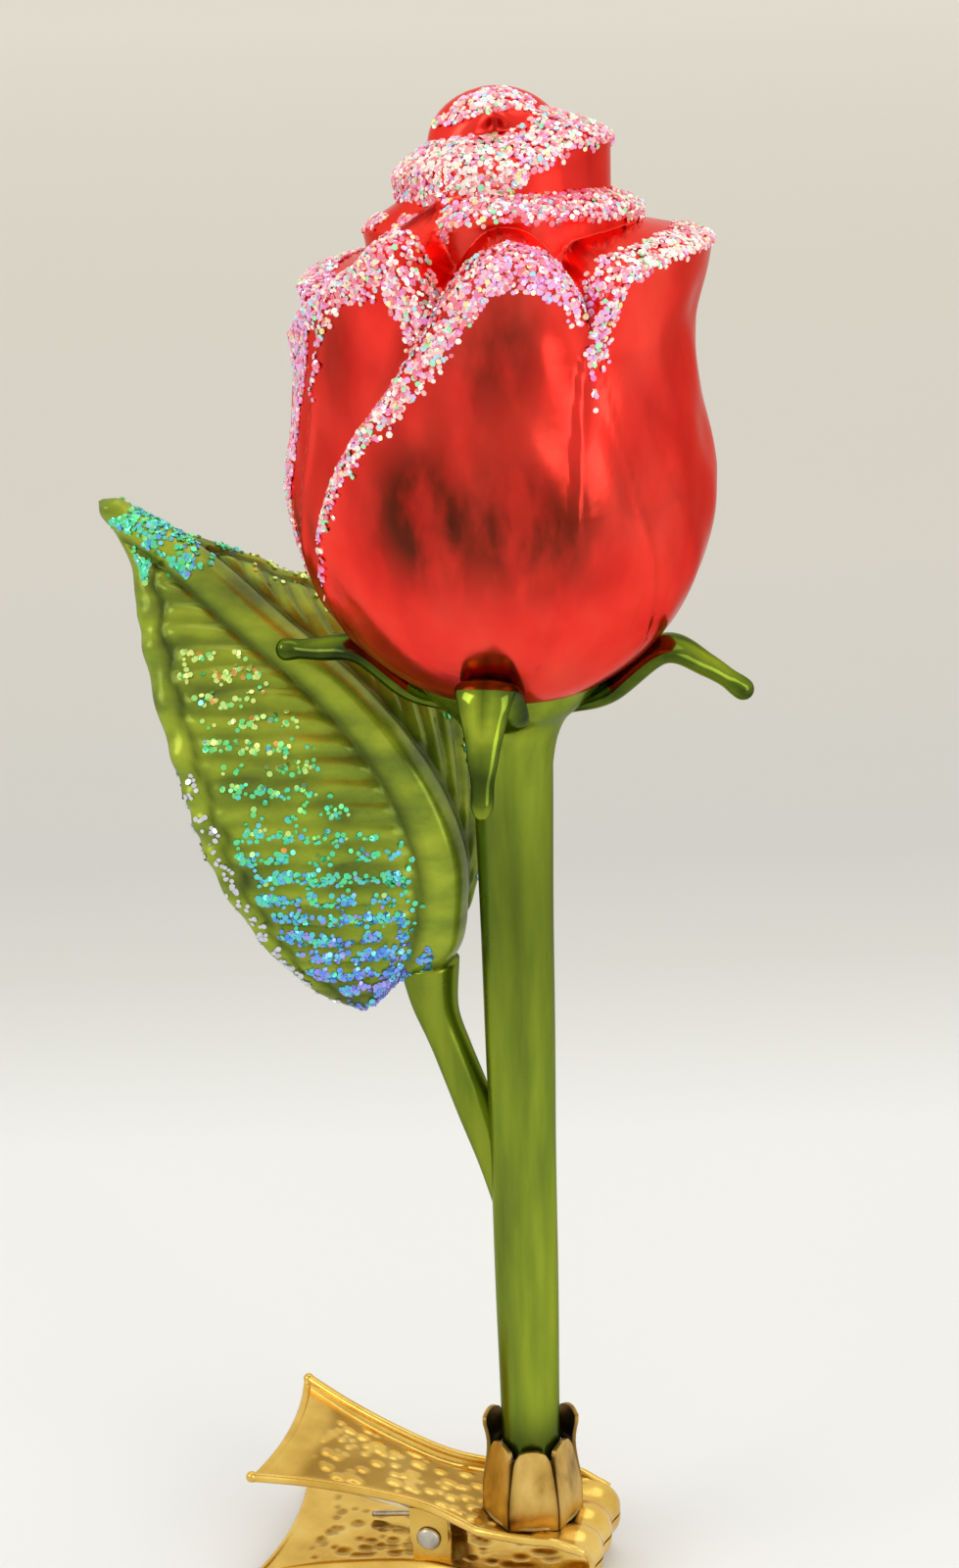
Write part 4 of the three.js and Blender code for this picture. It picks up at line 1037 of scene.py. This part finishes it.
# Clip: two stamped levers, a pin and a spring
SHEET = 0.6
INNER_FACE = 2.6
TAIL_REACH = 30.0
TAIL_WIDTH = 21.0
WAIST_WIDTH = 11.0
JAW_REACH = 8.6
JAW_WIDTH = 14.5
HINGE_BACK = 11.0
BEND_AT = 5.0
UPPER_RISE = 6.0
LOWER_RISE = 0.8
RIM_HEIGHT = 1.1
RIM_WIDTH = 1.3
FISHTAIL = 1.4
TIP_GAP = METAL_GAP
EAR_RADIUS = 2.2
PIN_RADIUS = 0.8
WIRE_RADIUS = 0.35
SPRING_TURNS = 3.5
SPRING_LEG = 9.0
BEAD_RADIUS = 0.55
BEAD_SIDES = 12
CORNER_RADIUS = 0.64
PEBBLES = 170
PEBBLE_SIZE = (0.42, 0.95)
PEBBLE_HEIGHT = 0.26
JAW_WAVE = 0.22
JAW_WAVE_PITCH = 4.4
HALF_WIDTH = curve_through([
    [-TAIL_REACH, TAIL_WIDTH / 2], [-TAIL_REACH * 0.8, TAIL_WIDTH * 0.385],
    [-TAIL_REACH * 0.56, WAIST_WIDTH * 0.56], [-HINGE_BACK, WAIST_WIDTH / 2],
    [-4, JAW_WIDTH * 0.475], [2, JAW_WIDTH / 2], [JAW_REACH, JAW_WIDTH * 0.43]])


def rise_at(rise, x):
    return rise * (-x - BEND_AT) / (TAIL_REACH - BEND_AT)


HINGE_Z = (rise_at(UPPER_RISE, -HINGE_BACK) - rise_at(LOWER_RISE, -HINGE_BACK)) / 2
UPPER_EAR = WAIST_WIDTH / 2 - RIM_WIDTH * 0.5
LOWER_EAR = UPPER_EAR - SHEET - SEAT_GAP


def lever_line(rise):
    """The inner face of a lever from its tail to its tip, as [x, z] points."""
    handle = [[x, INNER_FACE + rise_at(rise, x)] for x in np.linspace(-TAIL_REACH, -BEND_AT - 0.6, 90)]
    turn = INNER_FACE - 0.6
    middle = JAW_REACH - SHEET - turn
    flat = [[x, INNER_FACE] for x in np.linspace(-BEND_AT, middle - 0.2, 34)]
    lip = [[middle + turn * math.sin(a), INNER_FACE - turn + turn * math.cos(a)]
           for a in np.linspace(0, math.pi / 2, 14)]
    tip = [[JAW_REACH - SHEET, TIP_GAP + 0.2], [JAW_REACH - SHEET, TIP_GAP]]
    return np.array(handle + flat + lip + tip)


def pebbles(x, y, seed):
    """Height of the stamped nuggets on a lever's panel."""
    random = np.random.default_rng(seed)
    places = np.column_stack([random.uniform(-TAIL_REACH + 4, 4, PEBBLES), random.uniform(-7, 7, PEBBLES)])
    sizes = random.uniform(*PEBBLE_SIZE, PEBBLES)
    height = np.zeros(x.shape)
    for (px, py), size in zip(places, sizes):
        gap = np.hypot((x - px) / 1.25, y - py) / size
        height = np.maximum(height, np.clip(1 - gap * gap, 0, 1) ** 1.2 * size)
    return height


def lever(name, rise, seed, material, upside_down=False):
    """One lever: a pebbled sheet with turned rims, a bead along its edges and two hinge ears."""
    columns = 75
    line = lever_line(rise)
    ahead = unit(np.gradient(line, axis=0))
    out = np.column_stack([-ahead[:, 1], ahead[:, 0]])
    even = np.linspace(-1, 1, columns)
    share = 0.4 * np.sin(even * np.pi / 2) + 0.6 * even
    x = np.repeat(line[:, :1], columns, axis=1)
    half = HALF_WIDTH(x)
    y = share[None, :] * half
    flat = half - RIM_WIDTH
    rim = RIM_HEIGHT * smooth(flat, half + RIM_WIDTH * 0.4, np.abs(y))
    rim *= 1 - smooth(JAW_REACH - 5, JAW_REACH - 2, x)
    panel = (1 - smooth(flat - 0.9, flat, np.abs(y))) * (1 - smooth(2, 4, x))
    panel *= smooth(-TAIL_REACH + 3, -TAIL_REACH + 5, x)
    nugget = PEBBLE_HEIGHT * pebbles(x, y, seed) * panel
    wave = JAW_WAVE * np.sin(2 * np.pi * y / JAW_WAVE_PITCH) * smooth(2.5, 6, x) * (np.abs(y) < half)
    cut = (1 - smooth(-TAIL_REACH, -TAIL_REACH + 9, x)) * FISHTAIL * (1 - (y / half) ** 2)

    def sheet(lift):
        rise_here = rim + lift + wave
        return np.stack([x + out[:, :1] * rise_here + cut, y, line[:, 1:] + out[:, 1:] * rise_here], axis=-1)

    points = np.concatenate([sheet(SHEET + nugget).reshape(-1, 3), sheet(nugget * 0.8).reshape(-1, 3)])
    parts = [[points, sheet_faces(len(line), columns)]]
    middle = sheet(SHEET * 0.5)
    for edge in (middle[:-8, 0], middle[:-8, -1]):
        parts.append(bead(edge, BEAD_RADIUS, 120))
    parts.append(bead(middle[0], BEAD_RADIUS * 0.9, 60, beside=-ALONG))
    for corner in (middle[0, 0], middle[0, -1]):
        parts.append(corner_bead(corner))
    ear_side = LOWER_EAR if upside_down else UPPER_EAR
    reach = INNER_FACE + rise_at(rise, -HINGE_BACK) + (HINGE_Z if upside_down else -HINGE_Z) + SHEET * 0.5
    pin_z = -HINGE_Z if upside_down else HINGE_Z
    for side in (ear_side, -ear_side + SHEET):
        parts.append(ear(reach, side, pin_z))
    if upside_down:
        parts = [[np.asarray(p).reshape(-1, 3) * [1, 1, -1], f] for p, f in parts]
    # Painted shade: on the outer face between the nuggets, and on the inner face under them.
    swell = np.clip(nugget / (PEBBLE_HEIGHT * PEBBLE_SIZE[0]), 0, 1)
    shade_between_nuggets = (1 - swell) * panel * 0.6
    shade_under_nuggets = swell * 0.6
    dark = np.concatenate([shade_between_nuggets.ravel(), shade_under_nuggets.ravel()])
    total = sum(np.size(points) // 3 for points, _ in parts)
    return join(name, parts, material, sharp=50, values={"painted_shade": np.pad(dark, (0, total - len(dark)))})


def bead(edge, radius, stations, **way):
    """A round bead along every third point of an edge."""
    rings = tube_rings(line_through(edge[::3]), radius, BEAD_SIDES, stations, **way)
    return [rings, loft_faces(stations, BEAD_SIDES)]


def corner_bead(at):
    """The rounded end of a lever's beaded edge."""
    a = np.linspace(0.06, np.pi - 0.06, 13)
    profile = np.column_stack([np.sin(a), -np.cos(a)]) * CORNER_RADIUS
    return [lathe_rings(profile, 20) + at, loft_faces(len(profile), 20)]


def ear(reach, side, pin_z):
    """One hinge ear: a plate with a round foot and a pin hole."""
    count = 40
    a = round_angles(count)
    hole = np.column_stack([np.cos(a), np.sin(a)]) * (PIN_RADIUS + 0.1)
    outline = np.column_stack([np.cos(a), np.sin(a)]) * EAR_RADIUS
    upper = np.sin(a) > 0.02
    outline[upper, 1] = reach
    outline[upper, 0] = np.clip(outline[upper, 0] * 1.6, -EAR_RADIUS, EAR_RADIUS)
    rings = []
    for loop, y in ((outline, side), (hole, side), (hole, side - SHEET), (outline, side - SHEET)):
        rings.append(np.column_stack([loop[:, 0] - HINGE_BACK, np.full(count, y), loop[:, 1] + pin_z]))
    return [np.array(rings), ring_faces(4, count, closed=True)]


def clip_levers():
    gold = gold_plate()
    upper = lever("upper_lever_plate", UPPER_RISE, 3, gold)
    settle(upper, "rose", "clip_metal", "upper_lever")
    lower = lever("lower_lever_plate", LOWER_RISE, 5, gold, upside_down=True)
    settle(lower, "lower_jaw", "clip_metal", "lower_lever")


def hinge_pin(steel):
    """The pin, with a low domed head outside each upper ear."""
    sides = 36
    head = UPPER_EAR + METAL_GAP
    dome = [[1.4, 0], [1.4, 0.15], [1.25, 0.35], [0.9, 0.52], [0.4, 0.6], [0.02, 0.6]]
    right = [[PIN_RADIUS, head - 0.01]] + [[r, head + z] for r, z in dome]
    profile = [[r, -z] for r, z in right[::-1]] + right
    rings = lathe_rings(profile, sides)
    points = np.stack([rings[..., 0] - HINGE_BACK, -rings[..., 2], rings[..., 1] + HINGE_Z], axis=-1)
    made = mesh_object("pin_rod", points, loft_faces(len(profile), sides), steel, sharp=40)
    settle(made, "rose", "steel", "hinge_pin")


def torsion_spring(steel):
    """A coil round the pin, with one leg along each handle."""
    radius = PIN_RADIUS + SEAT_GAP + WIRE_RADIUS + 0.05
    room = LOWER_EAR - SHEET - SEAT_GAP - WIRE_RADIUS

    def coil(turn):
        a = math.pi / 2 - 2 * math.pi * turn
        x = -HINGE_BACK + radius * math.cos(a)
        return np.array([x, mix(-room, room, turn / SPRING_TURNS), HINGE_Z + radius * math.sin(a)])

    def leg(start, rise, up):
        x = -HINGE_BACK - SPRING_LEG
        end = np.array([x, start[1], up * (INNER_FACE + rise_at(rise, x) - SEAT_GAP - WIRE_RADIUS)])
        return [mix(start, end, s) for s in (0.15, 0.4, 0.7, 1)]

    turns = [coil(i / 16) for i in range(int(SPRING_TURNS * 16) + 1)]
    points = leg(turns[0], UPPER_RISE, 1)[::-1] + turns + leg(turns[-1], LOWER_RISE, -1)
    stations, sides = 420, 12
    rings = tube_rings(line_through(points), WIRE_RADIUS, sides, stations)
    made = mesh_object("spring_wire", rings, loft_faces(stations, sides), steel)
    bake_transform(made)
    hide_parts("torsion_spring")


# Crown, which stands in for the rivet too, and glue
CROWN_HEIGHT = 9.6
CROWN_SHEET = 0.5
CROWN_PETALS = 6
CROWN_PETAL_SHAPE = curve_through([[0, 0.48], [0.3, 0.48], [0.75, 0.39], [0.93, 0.33], [1, 0.27]])
REAR_PETAL_EXTRA = 1.8
BACK_PETAL_EXTRA = 1.2


def crown():
    """A floor with six stamped petals bent up round the stem. The two rear ones flare at the top."""
    stations, columns = 40, 21
    parts = []
    dark = []
    flat = CROWN_RADIUS * math.cos(math.pi / CROWN_PETALS)
    for index in range(CROWN_PETALS):
        rear = index in (2, 4)
        back = index == 3
        top = flat * (1.1 if rear else 0.81)
        bend = mix(flat, top, -0.8 if rear else 0.6)
        height = CROWN_HEIGHT + (REAR_PETAL_EXTRA if rear else 0) + (BACK_PETAL_EXTRA if back else 0)
        t = np.linspace(0, 1, stations)[:, None]
        v = np.linspace(-1, 1, columns)[None, :]
        outward = curve_through([[0, flat + 0.1], [0.3, flat], [0.72, bend], [1, top]])(t)
        half = CROWN_RADIUS * CROWN_PETAL_SHAPE(t)
        bulge = 0.12 * (1 - v * v)
        tip = 0.5 * (v * v) * smooth(0.8, 1, t)
        z = CROWN_FLOOR + t * height - tip + 0 * v

        def face(inset):
            r = outward + bulge - inset
            return np.stack([v * half, -r, z], axis=-1)

        points = np.concatenate([face(0).reshape(-1, 3), face(CROWN_SHEET).reshape(-1, 3)])
        parts.append([turned(points, index * 360 / CROWN_PETALS), sheet_faces(stations, columns)])
        # Painted shade along each petal's side edges, at its foot and over its inner face.
        rim = np.abs(v) ** 10 * 0.55 + 0 * t
        dark += [np.maximum(rim, 0.35 * bell(t, 0, 0.06)).ravel(), np.full(stations * columns, 0.85)]
    sides = 48
    floor = [[0.4, 0], [flat + 0.3, 0], [flat + 0.5, CROWN_SHEET / 2], [flat + 0.3, CROWN_SHEET],
             [0.4, CROWN_SHEET]]
    rings = lathe_rings([[r, CROWN_FLOOR + z] for r, z in floor], sides)
    parts.append([rings, loft_faces(len(floor), sides)])
    # Painted shade on the crown's floor.
    dark.append(np.full(len(floor) * sides, 0.5))
    parts = [[turned_with_flower(points), faces] for points, faces in parts]
    made = join("crown_cup", parts, old_brass(), sharp=45, values={"painted_shade": np.concatenate(dark)})
    settle(made, "rose", "crown_metal", "crown_socket", "crown_rivet")


def glue():
    """A lumpy collar of set glue between the stem's foot and the crown."""
    low, high = (corner.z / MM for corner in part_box("glue_seat"))
    inside = STEM_FOOT_RADIUS + 0.1
    outside = CROWN_RADIUS * math.cos(math.pi / CROWN_PETALS) - CROWN_SHEET - 0.25
    profile = [[inside, low], [outside, low + 0.2], [outside, mix(low, high, 0.5)],
               [outside - 0.4, high - 0.9], [inside + 0.5, high - 0.1], [inside + 0.15, high],
               [inside, high - 0.2]]
    sides = 64
    rings = lathe_rings(profile, sides)
    a = round_angles(sides)
    lumps = 0.35 * np.sin(3 * a + 0.4) + 0.25 * np.sin(7 * a + 1.3)
    rings[3:6, :, 2] += lumps[None, :] * np.array([0.5, 1, 0.7])[:, None]
    faces = ring_faces(len(profile), sides, closed=True)
    made = mesh_object("glue_collar", rings, faces, set_glue(), sharp=60)
    settle(made, "rose", "glue", "glue_seat")


# Build the rose
rose_bud()
bud_glitter()
stem_green = green_lacquer("stem_lacquer", shade=1.5, stretch=(0.9, 0.9, 0.12), cloud=0.75)
calyx(stem_green)
for one in SEPALS:
    sepal(one)
stem(stem_green)
leaf_stalk(stem_green)
leaf()
leaf_glitter()
clip_levers()
steel = spring_steel()
hinge_pin(steel)
torsion_spring(steel)
crown()
glue()


# Camera: a long lens in front of the flower and a little above it
FOCAL = 72.0
AZIMUTH = math.radians(15.5)
ELEVATION = math.radians(21)
DISTANCE = 324.0
AIM_HEIGHT = 91.1
AIM_LEFT = 3.5
ROLL = math.radians(1.8)


def camera():
    lens = bpy.data.cameras.new("camera")
    lens.lens = FOCAL
    lens.sensor_width = 36
    lens.clip_start = 0.01
    made = bpy.data.objects.new("camera", lens)
    right = Vector((math.cos(AZIMUTH), math.sin(AZIMUTH), 0))
    front = Vector((math.sin(AZIMUTH), -math.cos(AZIMUTH), 0))
    back = math.cos(ELEVATION) * front + Vector((0, 0, math.sin(ELEVATION)))
    aim = Vector((0, 0, AIM_HEIGHT)) - AIM_LEFT * right
    turn = back.to_track_quat("Z", "Y").to_euler()
    turn.rotate_axis("Z", -ROLL)
    made.location = (aim + DISTANCE * back) * MM
    made.rotation_euler = turn
    bpy.context.scene.collection.objects.link(made)
    bpy.context.scene.camera = made


# Floor and light: the floor's tones from near to far behind the clip, with a band of painted shade behind it,
# and its tone far off all round.
# Near and far, and where the far tone starts and is full, are in metres.
FLOOR_TONES_AND_SHADE = [(0, (0.79, 0.79, 0.78)), (0.1, (0.77, 0.78, 0.76)), (0.14, (0.61, 0.61, 0.57)),
               (0.17, (0.555, 0.555, 0.52)), (0.28, (0.625, 0.60, 0.54)), (0.51, (0.70, 0.665, 0.585)),
               (0.9, (0.80, 0.76, 0.67))]
FLOOR_NEAR = -0.05
FLOOR_FAR = 1.5
FAR_TONE = (0.98, 0.945, 0.875)
FAR_FROM = 1.5
FAR_FULL = 9.0
FLOOR_REACH = 15000
AIR_LIGHT = (1, 0.985, 0.96, 1)
AIR_STRENGTH = 0.92
AIR_SEEN = (0.90, 0.865, 0.80, 1)


def studio_look():
    """A pale floor that changes with depth and has a band of painted shade behind the clip. Far off all
    round, it takes the tone of the air.
    """
    look = Look("pale_studio")
    split = look.nodes.new("ShaderNodeSeparateXYZ")
    look.links.new(look.place, split.inputs["Vector"])
    depth = look.level(split.outputs["Y"], 0, 1, FLOOR_NEAR, FLOOR_FAR)
    away = look.nodes.new("ShaderNodeVectorMath")
    away.operation = "LENGTH"
    look.links.new(look.place, away.inputs[0])
    far = look.level(away.outputs["Value"], 0, 1, FAR_FROM, FAR_FULL)
    tone = look.ramp(depth, *FLOOR_TONES_AND_SHADE)
    look.colour(look.blend("MIX", far, tone, FAR_TONE))
    look.roughness(look.noise(40, 3), 0.6, 0.75)
    return look.material


def studio():
    ground = CAD_BOX[0][2] / MM
    sides = [(-1, -1), (1, -1), (1, 1), (-1, 1)]
    corners = np.array([[FLOOR_REACH * x, FLOOR_REACH * y, ground] for x, y in sides])
    made = mesh_object("studio_floor", corners, [(0, 1, 2, 3)], studio_look())
    made.rotation_euler.z = AZIMUTH


def area_light(name, at, aim, width, height, power, colour):
    lamp = bpy.data.lights.new(name, "AREA")
    lamp.shape = "RECTANGLE"
    lamp.size = width * MM
    lamp.size_y = height * MM
    lamp.energy = power
    lamp.color = colour
    made = bpy.data.objects.new(name, lamp)
    made.location = Vector(at) * MM
    made.rotation_euler = (Vector(at) - Vector(aim)).to_track_quat("Z", "Y").to_euler()
    bpy.context.scene.collection.objects.link(made)


def studio_air():
    """Soft light from all round. Seen straight on or in a reflection, it is warm like the floor."""
    world = bpy.data.worlds.new("studio_air")
    world.use_nodes = True
    nodes, links = world.node_tree.nodes, world.node_tree.links
    light = nodes["Background"]
    light.inputs["Color"].default_value = AIR_LIGHT
    light.inputs["Strength"].default_value = AIR_STRENGTH
    seen = nodes.new("ShaderNodeBackground")
    seen.inputs["Color"].default_value = AIR_SEEN
    seen.inputs["Strength"].default_value = 1
    path = nodes.new("ShaderNodeLightPath")
    straight = path.outputs["Is Camera Ray"]
    for ray in ("Is Glossy Ray", "Is Transmission Ray"):
        more = nodes.new("ShaderNodeMath")
        more.operation = "MAXIMUM"
        links.new(straight, more.inputs[0])
        links.new(path.outputs[ray], more.inputs[1])
        straight = more.outputs["Value"]
    either = nodes.new("ShaderNodeMixShader")
    links.new(straight, either.inputs["Fac"])
    links.new(light.outputs["Background"], either.inputs[1])
    links.new(seen.outputs["Background"], either.inputs[2])
    links.new(either.outputs["Shader"], nodes["World Output"].inputs["Surface"])
    bpy.context.scene.world = world


def lights():
    middle = (0, 0, 90)
    area_light("key_left", (-420, -380, 480), middle, 320, 320, 0.9, (1, 0.97, 0.93))
    area_light("fill_right", (460, -240, 260), middle, 260, 420, 0.7, (1, 0.98, 0.96))
    area_light("top", (40, 120, 620), middle, 420, 420, 0.5, (1, 0.98, 0.96))


camera()
studio()
studio_air()
lights()
bpy.context.scene.view_settings.view_transform = "Standard"
